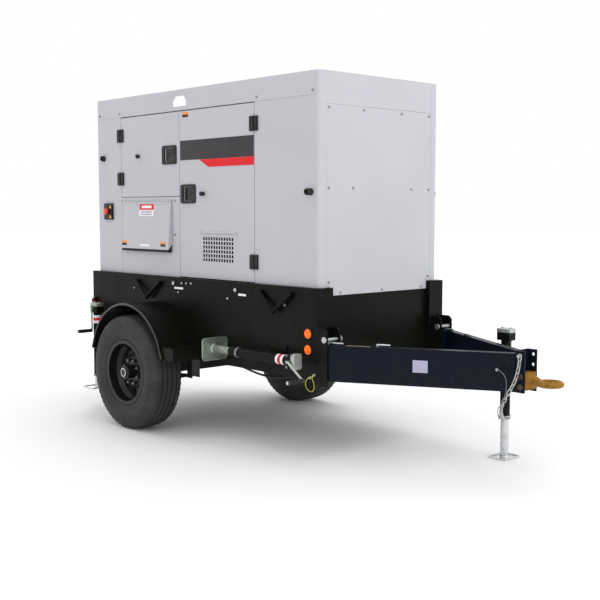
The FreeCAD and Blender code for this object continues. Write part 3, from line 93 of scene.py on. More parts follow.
class Finish:
    """A Principled material with the node chains that its surface detail is made of."""

    def __init__(self, name, colour, roughness, metallic=0.0, **sockets):
        self.material = bpy.data.materials.new(name)
        self.material.use_nodes = True
        self.tree = self.material.node_tree
        self.shader = self.tree.nodes["Principled BSDF"]
        self.colour = linear(*colour)
        self.roughness = roughness
        plain = {"Base_Color": self.colour, "Roughness": roughness, "Metallic": metallic}
        for label, value in (plain | sockets).items():
            self.shader.inputs[label.replace("_", " ")].default_value = value
        self.place = self.tree.nodes.new("ShaderNodeTexCoord").outputs["Object"]

    def plug(self, value, socket):
        """Feeds a socket from another node's output or with a number."""
        if isinstance(value, bpy.types.NodeSocket):
            self.tree.links.new(value, socket)
        else:
            socket.default_value = value

    def add(self, kind, **inputs):
        node = self.tree.nodes.new(kind)
        for label, value in inputs.items():
            self.plug(value, node.inputs[label.replace("_", " ")])
        return node

    def noise(self, scale, detail=3.0, stretch=None):
        place = self.place
        if stretch:
            place = self.add("ShaderNodeMapping", Vector=place, Scale=stretch).outputs["Vector"]
        return self.add("ShaderNodeTexNoise", Vector=place, Scale=scale, Detail=detail).outputs["Fac"]

    def cells(self, scale, feature="F1"):
        node = self.add("ShaderNodeTexVoronoi", Vector=self.place, Scale=scale)
        node.feature = feature
        return node.outputs["Distance" if feature != "F1" else "Color"]

    def wave(self, scale, direction, distortion=0.0):
        node = self.add("ShaderNodeTexWave", Vector=self.place, Scale=scale, Distortion=distortion)
        node.bands_direction = direction
        return node.outputs["Fac"]

    def along(self, axis):
        """The place on the object along a named axis."""
        return self.add("ShaderNodeSeparateXYZ", Vector=self.place).outputs[axis]

    def band(self, value, low, high, out_low=0.0, out_high=1.0):
        """The value's low-to-high range mapped onto another one, held at its ends."""
        node = self.add("ShaderNodeMapRange", Value=value, From_Min=low, From_Max=high, To_Min=out_low,
                        To_Max=out_high)
        return node.outputs["Result"]

    def calculate(self, operation, first, second=0.0):
        node = self.tree.nodes.new("ShaderNodeMath")
        node.operation = operation
        self.plug(first, node.inputs[0])
        self.plug(second, node.inputs[1])
        return node.outputs["Value"]

    def tint(self, factor, colour):
        """Mixes another colour over what the surface has so far."""
        node = self.tree.nodes.new("ShaderNodeMix")
        node.data_type = "RGBA"
        base = self.shader.inputs["Base Color"]
        under, over = node.inputs[6], node.inputs[7]
        if base.is_linked:
            self.tree.links.new(base.links[0].from_socket, under)
        under.default_value = self.colour
        over.default_value = linear(*colour)
        self.tree.links.new(factor, node.inputs["Factor"])
        self.tree.links.new(node.outputs[2], base)

    def patches(self, colour, scale, detail, low, high, amount):
        """Another colour where a noise rises from low to high."""
        self.tint(self.band(self.noise(scale, detail), low, high, 0.0, amount), colour)

    def wear(self, scale, detail, smoother, rougher):
        """A noise takes the roughness from smoother to rougher than it is."""
        noise = self.noise(scale, detail)
        rough = self.band(noise, 0.3, 0.7, self.roughness - smoother, self.roughness + rougher)
        self.tree.links.new(rough, self.shader.inputs["Roughness"])

    def bump(self, height, distance, strength):
        """Raises the surface by a height pattern, over any bump that it already has."""
        node = self.add("ShaderNodeBump", Height=height, Distance=distance, Strength=strength)
        normal = self.shader.inputs["Normal"]
        if normal.is_linked:
            self.tree.links.new(normal.links[0].from_socket, node.inputs["Normal"])
        self.tree.links.new(node.outputs["Normal"], normal)

    def grain(self, scale, detail, distance, strength):
        self.bump(self.noise(scale, detail), distance, strength)


class Coat:
    """A family of finishes: patches of other colours, one wear of the gloss and grains in the surface."""

    def __init__(self, patches, wear, grains, metallic=0.0, **sockets):
        self.patches, self.wear, self.grains = patches, wear, grains
        self.metallic, self.sockets = metallic, sockets

    def __call__(self, name, colour, roughness, **sockets):
        finish = Finish(name, colour, roughness, self.metallic, **(self.sockets | sockets))
        for patch in self.patches:
            finish.patches(*patch)
        finish.wear(*self.wear)
        for grain in self.grains:
            finish.grain(*grain)
        return finish


# baked powder paint: an orange-peel skin over slightly wavy sheet metal, with a little dust
POWDER_PATCHES = [((120, 121, 124), 1.7, 5, 0.35, 0.75, 0.10), ((235, 236, 240), 240, 2, 0.3, 0.8, 0.05)]
powder_coat = Coat(POWDER_PATCHES, (9, 4, 0.05, 0.07), [(2.3, 1, 0.006, 0.10), (760, 2, 0.00025, 0.45)])
rough_powder = Coat(POWDER_PATCHES, (9, 4, 0.05, 0.07), [(2.3, 1, 0.006, 0.16), (760, 2, 0.00025, 0.72)])
rubber = Coat([((86, 83, 76), 7, 6, 0.4, 0.75, 0.26)], (30, 4, 0.08, 0.1), [(420, 3, 0.0005, 0.5)],
              Specular_IOR_Level=0.35)
# a printed film stuck on the paint
vinyl = Coat([((128, 126, 126), 11, 4, 0.4, 0.8, 0.05)], (25, 3, 0.06, 0.08), [(300, 2, 0.0002, 0.25)],
             Specular_IOR_Level=0.25)
# a forging under worn paint, with bare steel and rust where it rubs
forged = Coat([((92, 58, 28), 24, 6, 0.52, 0.66, 0.65), ((198, 150, 62), 70, 5, 0.62, 0.72, 0.7)],
              (36, 5, 0.12, 0.15), [(48, 5, 0.0016, 0.5)], Specular_IOR_Level=0.2)
heated_steel = Coat([((112, 74, 48), 8, 5, 0.4, 0.7, 0.6), ((84, 90, 120), 17, 4, 0.55, 0.75, 0.4)],
                    (20, 4, 0.07, 0.18), [(120, 3, 0.0005, 0.4)], 0.8)


def black_paint(name, colour, roughness, **sockets):
    """Semi-gloss black frame paint with road dust low down and fine scuffs."""
    finish = Finish(name, colour, roughness, **sockets)
    low_down = finish.band(finish.along("Z"), 1.0, 0.35, 0.0, 0.06)
    finish.tint(finish.calculate("MULTIPLY", low_down, finish.noise(14, 6)), (112, 106, 92))
    finish.tint(finish.band(finish.noise(46, 6, (1, 1, 0.18)), 0.66, 0.74, 0.0, 0.10), (92, 92, 94))
    finish.wear(6, 5, 0.07, 0.12)
    finish.grain(1.9, 1, 0.008, 0.10)
    finish.grain(520, 2, 0.0003, 0.4)
    return finish


def zinc_plate(name, colour, roughness, spangle=70):
    """Zinc: a crystal pattern of slightly different greys, with a white bloom in places."""
    finish = Finish(name, colour, roughness, 0.85)
    finish.tint(finish.band(finish.cells(spangle), 0.1, 0.9, 0.0, 0.30), (214, 218, 214))
    finish.patches((112, 116, 106), 24, 5, 0.55, 0.78, 0.45)
    finish.wear(60, 3, 0.08, 0.14)
    finish.grain(190, 3, 0.0004, 0.35)
    return finish


def moulded(name, colour, roughness, grain=0.6, **sockets):
    """Moulded plastic with a fine spark-eroded grain."""
    finish = Finish(name, colour, roughness, **sockets)
    finish.patches((120, 118, 112), 18, 4, 0.45, 0.8, 0.12)
    finish.wear(40, 3, 0.06, 0.08)
    finish.bump(finish.cells(900, "DISTANCE_TO_EDGE"), 0.0002, grain)
    return finish


def lens(name, colour, glow):
    """A translucent lamp lens: bright, glossy, with pressed prisms."""
    finish = Finish(name, colour, 0.25, Specular_IOR_Level=0.3, Emission_Color=linear(*colour),
                    Emission_Strength=glow)
    finish.bump(finish.wave(38, "DIAGONAL"), 0.0012, 0.35)
    finish.patches((255, 130, 30), 60, 2, 0.4, 0.8, 0.10)
    return finish


def foam(name, colour):
    """Open-cell acoustic foam in pyramids."""
    finish = Finish(name, colour, 0.95, Specular_IOR_Level=0.1)
    finish.tint(finish.noise(160, 3), (70, 70, 72))
    finish.bump(finish.cells(38, "DISTANCE_TO_EDGE"), 0.02, 0.6)
    finish.grain(900, 2, 0.001, 0.6)
    return finish


def braided(name, colour):
    finish = Finish(name, colour, 0.75, Sheen_Weight=0.4, Sheen_Roughness=0.5)
    finish.tint(finish.band(finish.wave(420, "DIAGONAL", 1.5), 0.3, 0.8, 0.0, 0.45), (96, 100, 20))
    finish.bump(finish.wave(420, "DIAGONAL", 1.5), 0.0006, 0.8)
    return finish


def finned(name):
    """A radiator core: thin fins between flat tubes, with painted shade in the recessed stripes between them.
    """
    finish = Finish(name, (96, 98, 100), 0.5, 0.6)
    # painted shade: dark stripes where the wave's bump is lowest, between the tubes
    finish.tint(finish.band(finish.wave(30, "Y"), 0.2, 0.6, 0.7, 0.0), (22, 22, 24))
    finish.bump(finish.wave(30, "Y"), 0.004, 0.8)
    finish.bump(finish.wave(220, "Z"), 0.0012, 0.7)
    return finish


def door_paint(name, colour, roughness):
    """The canopy's paint, black on what stands proud of the skin: hinge sleeves and holder knobs."""
    finish = powder_coat(name, colour, roughness, Specular_IOR_Level=0.3)
    outside = finish.calculate("ABSOLUTE", finish.along("Y"))
    finish.tint(finish.band(outside, SKIN + 0.0004, SKIN + 0.0008), (18, 19, 21))
    return finish


def rusty_zinc(name, colour, roughness):
    """Zinc that has gone brown on the coupler's bolts, at the front end."""
    finish = zinc_plate(name, colour, roughness)
    finish.tint(finish.band(finish.along("X"), 1.60, 1.62, 0.0, 0.92), (74, 52, 42))
    return finish


CANOPY_GREY, ZINC_GREY = (183, 184, 190), (176, 180, 176)
FINISH = {
    "door": door_paint("door_grey", CANOPY_GREY, 0.5),
    "bolts": rusty_zinc("zinc_and_rust", ZINC_GREY, 0.36),
    "canopy": powder_coat("canopy_grey", CANOPY_GREY, 0.5, Specular_IOR_Level=0.3),
    "base": black_paint("base_black", (10, 13, 9), 0.36, Specular_IOR_Level=0.09),
    "drawbar": black_paint("drawbar_black", (6, 14, 30), 0.34, Specular_IOR_Level=0.1),
    "eye": forged("tow_eye_mustard", (138, 98, 26), 0.55),
    "zinc": zinc_plate("zinc_plate", ZINC_GREY, 0.36),
    "galvanised": zinc_plate("galvanised", (142, 152, 138), 0.46, 40),
    "bright": zinc_plate("bright_zinc", (206, 208, 212), 0.28, 120),
    "spring": black_paint("spring_black", (30, 30, 30), 0.5),
    "screw": zinc_plate("plain_steel", (118, 118, 124), 0.4),
    "black": moulded("black_plastic", (18, 19, 21), 0.42, Specular_IOR_Level=0.3),
    "grip": moulded("grip_black", (14, 14, 15), 0.55, 0.9, Specular_IOR_Level=0.3),
    "paddle": moulded("paddle_grey", (20, 26, 24), 0.3, 0.4, Specular_IOR_Level=0.35),
    "red": moulded("red_plastic", (214, 38, 24), 0.3, 0.2, Coat_Weight=0.4, Coat_Roughness=0.1),
    "amber": lens("amber_lens", (255, 92, 0), 0.75),
    "red_lens": lens("red_lens", (228, 16, 10), 0.35),
    "tyre": rubber("tyre_rubber", (42, 43, 42), 0.74),
    "wheel": black_paint("wheel_black", (13, 14, 14), 0.3, Specular_IOR_Level=0.3),
    "rubber": rubber("plain_rubber", (24, 24, 25), 0.66),
    "engine": rough_powder("engine_grey", (128, 131, 134), 0.48),
    "alternator": rough_powder("alternator_grey", (104, 108, 112), 0.5),
    "radiator": finned("radiator_core"),
    "muffler": heated_steel("muffler_steel", (132, 124, 116), 0.42),
    "cord": braided("yellow_cord", (206, 200, 40)),
    "cable": zinc_plate("cable_steel", (92, 94, 98), 0.5, 300),
    "band": vinyl("band_grey", (50, 46, 51), 0.32),
    "scarlet": vinyl("band_red", (214, 12, 28), 0.32),
    "white": vinyl("label_white", (232, 232, 236), 0.32),
    "marker": vinyl("marker_grey", (168, 164, 190), 0.32),
    "strip": vinyl("strip_straw", (176, 164, 128), 0.32),
    "gloss": black_paint("gloss_black", (16, 18, 16), 0.16, Specular_IOR_Level=0.6),
    "orange": vinyl("label_orange", (238, 138, 24), 0.32),
    "ink": vinyl("label_black", (34, 32, 36), 0.32),
    "yellow": vinyl("label_yellow", (236, 176, 22), 0.32),
    "foam": foam("acoustic_foam", (38, 38, 40)),
    # a near-black sheet behind the main door's grille: painted shade, for the dark seen through its holes
    "void": Finish("grille_painted_shade", (6, 6, 10), 0.9, Specular_IOR_Level=0.05),
}
# the finish of a record's material slot, where its name is not the slot's own
SLOT_FINISH = {
    "base_paint": "base", "drawbar_paint": "drawbar", "canopy_paint": "canopy", "tow_eye_paint": "eye",
    "spring_steel": "spring", "screw_steel": "screw", "black_plastic": "black", "red_plastic": "red",
    "amber_lens": "amber", "wheel_paint": "wheel", "engine_paint": "engine", "alternator_paint": "alternator",
    "radiator_aluminium": "radiator", "muffler_steel": "muffler", "yellow_cord": "cord",
    "steel_cable": "cable",
}

# ---------------------------------------------------------------- making pieces


def piece(name, bm, finish, body="trailer", bevel=0.0, segments=2):
    """A mesh object from a bmesh, smooth except at its sharp edges, riding on a body."""
    mesh = bpy.data.meshes.new(name)
    bmesh.ops.recalc_face_normals(bm, faces=bm.faces)
    bm.to_mesh(mesh)
    bm.free()
    item = bpy.data.objects.new(name, mesh)
    scene.collection.objects.link(item)
    mesh.materials.append(FINISH[finish].material)
    mesh.shade_smooth()
    mesh.set_sharp_from_angle(angle=SHARP_ANGLE)
    if bevel:
        edge = item.modifiers.new("edges", "BEVEL")
        edge.width, edge.segments, edge.limit_method = bevel, segments, "ANGLE"
        edge.angle_limit = SHARP_ANGLE
        edge.harden_normals = True
    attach(item, body)
    return item


def add_box(bm, low, high):
    low, high = Vector(low), Vector(high)
    size = high - low
    matrix = Matrix.Translation((low + high) / 2) @ Matrix.Diagonal((size.x, size.y, size.z, 1))
    bmesh.ops.create_cube(bm, size=1, matrix=matrix)
    return bm


def add_ball(bm, spot, radii, subdivisions, tilt=0.0):
    """A ball or an egg about a spot, tilted about Y."""
    matrix = Matrix.Translation(spot) @ Matrix.Rotation(tilt, 4, "Y") @ Matrix.Diagonal((*radii, 1))
    bmesh.ops.create_icosphere(bm, subdivisions=subdivisions, radius=1, matrix=matrix)


def along(axis, across_one, across_two, reach):
    """A point from its coordinate along one axis and its two coordinates across it, in x, y, z order."""
    values = [across_one, across_two]
    values.insert(axis, reach)
    return Vector(values)


def add_prism(bm, outline, axis, low, high):
    """A closed prism along an axis from an outline in the other two coordinates."""
    ends = [[bm.verts.new(along(axis, u, v, reach)) for u, v in outline] for reach in (low, high)]
    bm.faces.new(ends[0])
    bm.faces.new(ends[1])
    for number in range(len(outline)):
        after = (number + 1) % len(outline)
        bm.faces.new((ends[0][number], ends[0][after], ends[1][after], ends[1][number]))
    return bm


def prism(outline, axis, low, high):
    return add_prism(bmesh.new(), outline, axis, low, high)


def add_rod(bm, start, stop, radius, sides=24):
    start, stop = Vector(start), Vector(stop)
    way = stop - start
    turn = way.to_track_quat("Z", "Y").to_matrix().to_4x4()
    matrix = Matrix.Translation((start + stop) / 2) @ turn
    bmesh.ops.create_cone(bm, cap_ends=True, segments=sides, radius1=radius, radius2=radius,
                          depth=way.length, matrix=matrix)
    return bm


def rod(start, stop, radius, sides=24):
    return add_rod(bmesh.new(), start, stop, radius, sides)


def join_rings(bm, rings, closed=True):
    """Faces between each ring of vertices and the next one, and from the last to the first."""
    for number, here in enumerate(rings):
        there = rings[(number + 1) % len(rings)]
        for place in range(len(here) if closed else len(here) - 1):
            after = (place + 1) % len(here)
            bm.faces.new((here[place], here[after], there[after], there[place]))
    return bm


def add_lathe(bm, profile, axis, centre, steps=96, closed=True, sign=1):
    """Turns a profile of (radius, reach) points about an axis, with its reach outwards from a centre."""
    centre = Vector(centre)
    rings = []
    for step in range(steps):
        turn = 2 * math.pi * step / steps
        points = [along(axis, r * math.cos(turn), r * math.sin(turn), sign * reach) for r, reach in profile]
        rings.append([bm.verts.new(centre + point) for point in points])
    return join_rings(bm, rings, closed)


def lathe(profile, axis, centre, steps, closed=True, sign=1):
    return add_lathe(bmesh.new(), profile, axis, centre, steps, closed, sign)


def add_ring(bm, outer, inner, axis, low, high):
    """A frame between two outlines that have the same number of points."""
    rings = [[bm.verts.new(along(axis, u, v, reach)) for u, v in outline]
             for outline, reach in ((outer, low), (outer, high), (inner, high), (inner, low))]
    return join_rings(bm, rings)


def rounded(outline, radius, steps=5):
    """The outline of a polygon with each corner turned into an arc."""
    points = [Vector(point) for point in outline]
    result = []
    for number, corner in enumerate(points):
        before, after = points[number - 1], points[(number + 1) % len(points)]
        back, onward = (before - corner).normalized(), (after - corner).normalized()
        half = back.angle(onward) / 2
        cut = radius / math.tan(half)
        middle = corner + (back + onward).normalized() * (radius / math.sin(half))
        start, stop = corner + back * cut - middle, corner + onward * cut - middle
        for step in range(steps + 1):
            arm = start.lerp(stop, step / steps).normalized() * radius
            result.append(tuple(middle + arm))
    return result


def oblong(u, v, width, height, radius=0.0, steps=5):
    """A rectangle about a centre, with rounded corners if it has a radius."""
    left, right, low, high = u - width / 2, u + width / 2, v - height / 2, v + height / 2
    corners = [(left, low), (right, low), (right, high), (left, high)]
    return rounded(corners, radius, steps) if radius else corners


def between(x, z, radius=0.0, gap=0.0):
    """A rectangle between two distances from the front wall and two heights, less a gap."""
    return oblong(ahead(sum(x) / 2), sum(z) / 2, x[1] - x[0] - gap, z[1] - z[0] - gap, radius)


def outward(side, low, high):
    """A (low, high) pair along Y for distances from the centre plane, on one side."""
    return (-high, -low) if side < 0 else (low, high)


def bent_rod(name, points, radius, finish, smooth=8):
    """A round bar or cable along a smooth line through a few given points."""
    curve = bpy.data.curves.new(name, "CURVE")
    curve.dimensions, curve.bevel_depth, curve.bevel_resolution = "3D", radius, 5
    curve.use_fill_caps, curve.resolution_u = True, smooth
    line = curve.splines.new("NURBS")
    line.points.add(len(points) - 1)
    for spot, point in zip(line.points, points):
        spot.co = (*point, 1)
    line.order_u, line.use_endpoint_u = 3, True
    item = bpy.data.objects.new(name, curve)
    scene.collection.objects.link(item)
    curve.materials.append(FINISH[finish].material)
    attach(item, "trailer")
    return item


# ---------------------------------------------------------------- camera, floor and light


def make_camera():
    """Looks at the right front corner from about eye height."""
    lens_data = bpy.data.cameras.new("camera")
    lens_data.sensor_width, lens_data.lens = 36, 61.0
    lens_data.clip_start, lens_data.clip_end = 0.1, 100
    camera = bpy.data.objects.new("camera", lens_data)
    camera.location = (4.882, -4.648, 1.499)
    camera.rotation_euler = (math.pi / 2 - 0.0883, 0, 0.827)
    scene.collection.objects.link(camera)
    scene.camera = camera


def make_floor():
    """A pale floor that glows with distance, so that its far edge melts into the white behind it."""
    bm = bmesh.new()
    bmesh.ops.create_grid(bm, x_segments=1, y_segments=1, size=60)
    mesh = bpy.data.meshes.new("floor")
    bm.to_mesh(mesh)
    bm.free()
    floor = bpy.data.objects.new("floor", mesh)
    scene.collection.objects.link(floor)
    finish = Finish("floor_white", (255, 255, 255), 0.9, Specular_IOR_Level=0.1)
    finish.shader.inputs["Base Color"].default_value = (0.84, 0.84, 0.84, 1)
    finish.wear(3, 4, 0.05, 0.05)
    reach = finish.add("ShaderNodeVectorMath", Vector=finish.place)
    reach.operation = "LENGTH"
    finish.shader.inputs["Emission Color"].default_value = (1, 1, 1, 1)
    glow = finish.band(reach.outputs["Value"], 2.6, 6.5, 0.0, 0.24)
    finish.tree.links.new(glow, finish.shader.inputs["Emission Strength"])
    mesh.materials.append(finish.material)


def area_light(name, place, size, power):
    """A soft light aimed at the middle of the object."""
    data = bpy.data.lights.new(name, "AREA")
    data.shape, data.size, data.size_y, data.energy = "RECTANGLE", *size, power
    lamp = bpy.data.objects.new(name, data)
    lamp.location = place
    lamp.rotation_euler = (Vector((0, 0, 1.1)) - Vector(place)).to_track_quat("-Z", "Y").to_euler()
    scene.collection.objects.link(lamp)


def make_light():
    world = bpy.data.worlds.new("studio")
    world.use_nodes = True
    background = world.node_tree.nodes["Background"]
    background.inputs["Color"].default_value = (1, 1, 1, 1)
    background.inputs["Strength"].default_value = 1.0
    scene.world = world
    area_light("key", (3.2, -5.5, 5.2), (4.5, 3.5), 45)
    area_light("front_fill", (7.5, 1.5, 3.6), (4, 4), 130)
    area_light("top", (-0.5, 0.5, 6.5), (6, 4), 120)
    area_light("rear_fill", (-6.0, 3.0, 4.0), (4, 4), 90)
    scene.view_settings.view_transform = "Standard"


make_camera()
make_floor()
make_light()

# ---------------------------------------------------------------- cords


def make_cord(name, node, points, diameter, finish):
    """A cord held by the object at both ends, along the line that its CAD node follows."""
    line = bent_rod(name, points, diameter / 2, finish, 12)
    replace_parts(line, node)


def route(steps, y=0.0, z=0.0):
    """Points from millimetres ahead of the front wall, and across and up from a y and a z."""
    return [(ahead(dx * MM), dy * MM + y, z + dz * MM) for dx, dy, dz in steps]


LANYARD_ROUTE = [(-20, -9, 17), (-20, -22, 17), (-24, -32, 9), (-33, -35, -10), (-34, -33, -33),
                 (-20, -30, -53), (4, -29, -63), (29, -31, -55), (43, -34, -34), (41, -37, -8),
                 (31, -37, 13), (18, -32, 28), (12, -21, 35), (12, -9, 35)]
LANYARD_KNOTS = {(12, -16, 34): 0.3, (14, -20, 30): 1.2, (9, -18, 29): 2.0, (-22, -20, 15): 0.6,
                 (-20, -15, 18): 1.7}
CABLE_ROUTE = [(982, -116, 626), (991, -132, 628), (1014, -146, 630), (1043, -150, 622), (1063, -146, 595),
               (1066, -140, 549), (1055, -137, 498), (1028, -127, 452), (988, -98, 418), (948, -58, 390),
               (912, -8, 362), (880, 44, 334), (850, 93, 310), (816, 138, 292), (782, 183, 277),
               (748, 226, 266), (719, 270, 259), (698, 308, 256), (684, 343, 257)]
HOSE_ROUTE = [(-930, 0, 0), (-872, 0, 0), (-780, -1, -14), (-690, -3, -30), (-590, -2, -42),
              (-490, 1, -43), (-398, 3, -33), (-312, 2, -17), (-250, 0, 0), (-200, 0, 0)]
make_cord("lanyard_cord", "lanyard", route(LANYARD_ROUTE, -SILL, BASE_LOW),
          0.004, "cord")
knots = bmesh.new()
for spot, tilt in zip(route(LANYARD_KNOTS, -SILL, BASE_LOW), LANYARD_KNOTS.values()):
    add_ball(knots, Vector(spot), (0.0062, 0.0042, 0.0042), 2, tilt)
piece("lanyard_knots", knots, "cord")
make_cord("breakaway_cord", "breakaway_cable", route(CABLE_ROUTE),
          0.004, "cable")
make_cord("floor_hose", "underfloor_hose", route(HOSE_ROUTE, -0.450, 0.484),
          0.014, "rubber")

# ---------------------------------------------------------------- doors

# name: side, x and z of the latch, x and z of the knob, x and the two z of the hinges,
# the way from the hinges to the latch, and the door's two spans
LONG_DOOR = ((-1.270, 1.607), (-1.098, 1.606), (-0.580, (2.035, 1.173)), -1, (-1.370, -0.582),
             (1.045, 2.163))
DOORS = {
    "control": (RIGHT, (-1.483, 1.876), (-1.860, 1.880), (-2.090, (2.035, 1.724)), 1, (-2.088, -1.374),
                (1.593, 2.163)),
    "main": (RIGHT, *LONG_DOOR),
    "engine": (LEFT, *LONG_DOOR),
}
FOAM_MARGIN = 0.035
LATCH_ROOM = 0.074     # from the latch's middle to the foam round it
KNOB_STRETCH = 0.72    # the control door's knob meets its holder when the door stands open
KEY_RING = [(0.0095, 0), (0.0095, 0.0030), (0.0075, 0.0036), (0.0035, 0.0024), (0.0001, 0.0024)]
KNOB = [(0.0102, 0.001), (0.0125, 0.003), (0.0125, 0.014), (0.0150, 0.019), (0.0155, 0.026), (0.0130, 0.032),
        (0.0080, 0.035), (0.0001, 0.0355)]


def make_door(name):
    side, latch, knob, hinge, way, x_span, z_span = DOORS[name]
    door, handle = name + "_door", name + "_latch"
    latch_x, latch_z = ahead(latch[0]), latch[1]

    def slab(label, finish, body, outline, low, high, bevel):
        reach = outward(side, SKIN + low, SKIN + high)
        piece(f"{name}_{label}", prism(outline, Y, *reach), finish, body, bevel=bevel)

    outer = oblong(latch_x, latch_z, 0.166, 0.128, 0.016)
    inner = oblong(latch_x, latch_z, 0.102, 0.095, 0.006)
    rim = add_ring(bmesh.new(), outer, inner, Y, *outward(side, SKIN - 0.001, SKIN + 0.009))
    piece(name + "_latch_frame", rim, "black", door, bevel=0.0022, segments=3)
    face = oblong(latch_x, latch_z, 0.090, 0.082, 0.006)
    slab("paddle_face", "paddle", handle, face, -0.0072, -0.0040, 0.0012)
    lip = oblong(ahead(latch[0] + way * 0.034), latch_z, 0.014, 0.074, 0.004)
    slab("paddle_lip", "paddle", handle, lip, -0.0045, 0.0015, 0.0018)
    centre = (ahead(latch[0] - way * 0.018), side * (SKIN - 0.0042), latch_z)
    piece(name + "_key_ring", lathe(KEY_RING, Y, centre, 32, False, side), "spring", handle)
    stretch = KNOB_STRETCH if name == "control" else 1.0
    centre = (ahead(knob[0]), side * SKIN, knob[1])
    cap = lathe([(r, out * stretch) for r, out in KNOB], Y, centre, 32, False, side)
    piece(name + "_knob_cap", cap, "rubber", door)
    for number, height in enumerate(hinge[1]):
        for half, body, toward in (("leaf", door, way), ("fixed", "trailer", -way)):
            centre_x = ahead(hinge[0] + toward * 0.0235)
            outline = oblong(centre_x, height, 0.027, 0.090, 0.008)
            slab(f"hinge_{half}_{number}", "black", body, outline, 0.0110, 0.0123, 0.0005)
            screws = bmesh.new()
            for up in (-0.030, 0.030):
                add_lathe(screws, [(0.0065, 0), (0.0060, 0.0008), (0.0001, 0.0012)], Y,
                          (centre_x, side * (SKIN + 0.0122), height + up), 20, False, side)
            piece(f"{name}_hinge_screws_{half}_{number}", screws, "grip", body)
    deep, shallow = -0.022, -0.0035
    low_z = z_span[0] if name == "control" else 1.41
    x_low, x_high = x_span[0] + FOAM_MARGIN, x_span[1] - FOAM_MARGIN
    z_low, z_high = low_z + FOAM_MARGIN, z_span[1] - FOAM_MARGIN
    at_left = latch[0] > sum(x_span) / 2
    beside = (x_low, latch[0] - LATCH_ROOM) if at_left else (latch[0] + LATCH_ROOM, x_high)
    pads = bmesh.new()
    for x_ends, z_ends in (((x_low, x_high), (latch_z + LATCH_ROOM, z_high)),
                           (beside, (latch_z - LATCH_ROOM, latch_z + LATCH_ROOM)),
                           ((x_low, x_high), (z_low, latch_z - LATCH_ROOM))):
        pad = between(x_ends, z_ends, 0.008, 0.004)
        add_prism(pads, pad, Y, *outward(side, SKIN + deep, SKIN + shallow))
    piece(name + "_foam", pads, "foam", door, bevel=0.003)
    if name != "control":
        for number, (low_x, high_x) in enumerate(((-1.335, -1.150), (-0.750, -0.620))):
            outline = oblong(ahead((low_x + high_x) / 2), 1.235, high_x - low_x, 0.300, 0.02)
            slab(f"foam_low_{number}", "foam", door, outline, deep, shallow, 0.004)
    low, high = (0.003 - SKIN, 0.027 - SKIN) if side < 0 else (SKIN + deep, SKIN + shallow)
    ribs = bmesh.new()
    for x in (x_span[0] + 0.012, x_span[1] - 0.030):
        add_box(ribs, (ahead(x), low, z_span[0] + 0.02), (ahead(x + 0.018), high, z_span[1] - 0.02))
    piece(name + "_door_ribs", ribs, "canopy", door, bevel=0.002)


for door_name in DOORS:
    make_door(door_name)

HOLDERS = [(-2.320, 1.880, RIGHT, 0.0275), (-0.062, 1.606, RIGHT, 0.044), (-0.062, 1.606, LEFT, 0.044)]
for number, (x, z, side, end) in enumerate(HOLDERS):
    cup = [(0.0172, 0.0), (0.0205, 0.002), (0.0205, end - 0.006), (0.0185, end - 0.001), (0.0150, end),
           (0.0112, end - 0.001), (0.0112, 0.0262), (0.0172, 0.0262)]
    piece(f"holder_cup_{number}", lathe(cup, Y, (ahead(x), side * SKIN, z), 36, sign=side), "rubber")

for door_name, (side, *_, x_span, z_span) in DOORS.items():
    outer, inner = between(x_span, z_span, 0.01, 0.012), between(x_span, z_span, 0.01, 0.044)
    rim = add_ring(bmesh.new(), outer, inner, Y, *outward(side, SKIN - 0.0308, SKIN - 0.0286))
    piece(door_name + "_gasket", rim, "rubber", bevel=0.0008)

# painted shade: a near-black sheet just behind the grille, so that its holes look dark
low, high = 0.0032 - SKIN, 0.0046 - SKIN
backing = add_box(bmesh.new(), (ahead(-1.118), low, 1.154), (ahead(-0.782), high, 1.328))
piece("grille_backing", backing, "void", "main_door")
lip = [(0, 1.346), (0, 1.358), (0.0016, 1.358), (0.010, 1.349), (0.009, 1.346)]
lip = prism([(-SKIN - out, z) for out, z in lip], X, ahead(-1.147), ahead(-0.754))
piece("grille_lip", lip, "canopy", "main_door", 0.0006)


def dome_screws(spots, radius):
    """Screw heads with a washer, on a face that looks to the right."""
    bm = bmesh.new()
    profile = [(radius * 1.45, 0), (radius * 1.45, 0.0010), (radius, 0.0014), (radius * 0.9, 0.0032),
               (radius * 0.45, 0.0042), (0.0001, 0.0034)]
    for spot in spots:
        add_lathe(bm, profile, Y, spot, 20, False, RIGHT)
    return bm


lip_screws = [(ahead(x), -SKIN - 0.0012, 1.3545) for x in (-1.13, -0.95, -0.77)]
piece("lip_screws", dome_screws(lip_screws, 0.004), "screw", "main_door")

# ---------------------------------------------------------------- bands and labels without words


def side_film(name, finish, outline, body="main_door", proud=0.0012):
    """A thin film on the right side of the canopy."""
    return piece(name, prism(outline, Y, *outward(RIGHT, SKIN, SKIN + proud)), finish, body)


side_film("dark_band", "band", between((-1.360, -0.584), (1.834, 1.965)))
slope = [(-1.148, 1.833), (-0.584, 1.833), (-0.584, 1.781), (-1.046, 1.781)]
side_film("red_band", "scarlet", [(ahead(x), z) for x, z in slope], proud=0.0014)
side_film("door_label_top", "orange", between((-1.332, -1.268), (2.138, 2.153)))
side_film("door_label_foot", "ink", between((-1.332, -1.268), (2.121, 2.138)))

FLAP_TOP, FLAP_LOW, FLAP_HIGH_OUT, FLAP_LOW_OUT = 1.556, 1.224, 0.009, 0.037


def flap_point(x, z, proud):
    """A point on the flap's sloping outer face, lifted off it."""
    share = (FLAP_TOP - z) / (FLAP_TOP - FLAP_LOW)
    out = FLAP_HIGH_OUT + (FLAP_LOW_OUT - FLAP_HIGH_OUT) * share
    return Vector((ahead(x), -SKIN - out - proud, z))


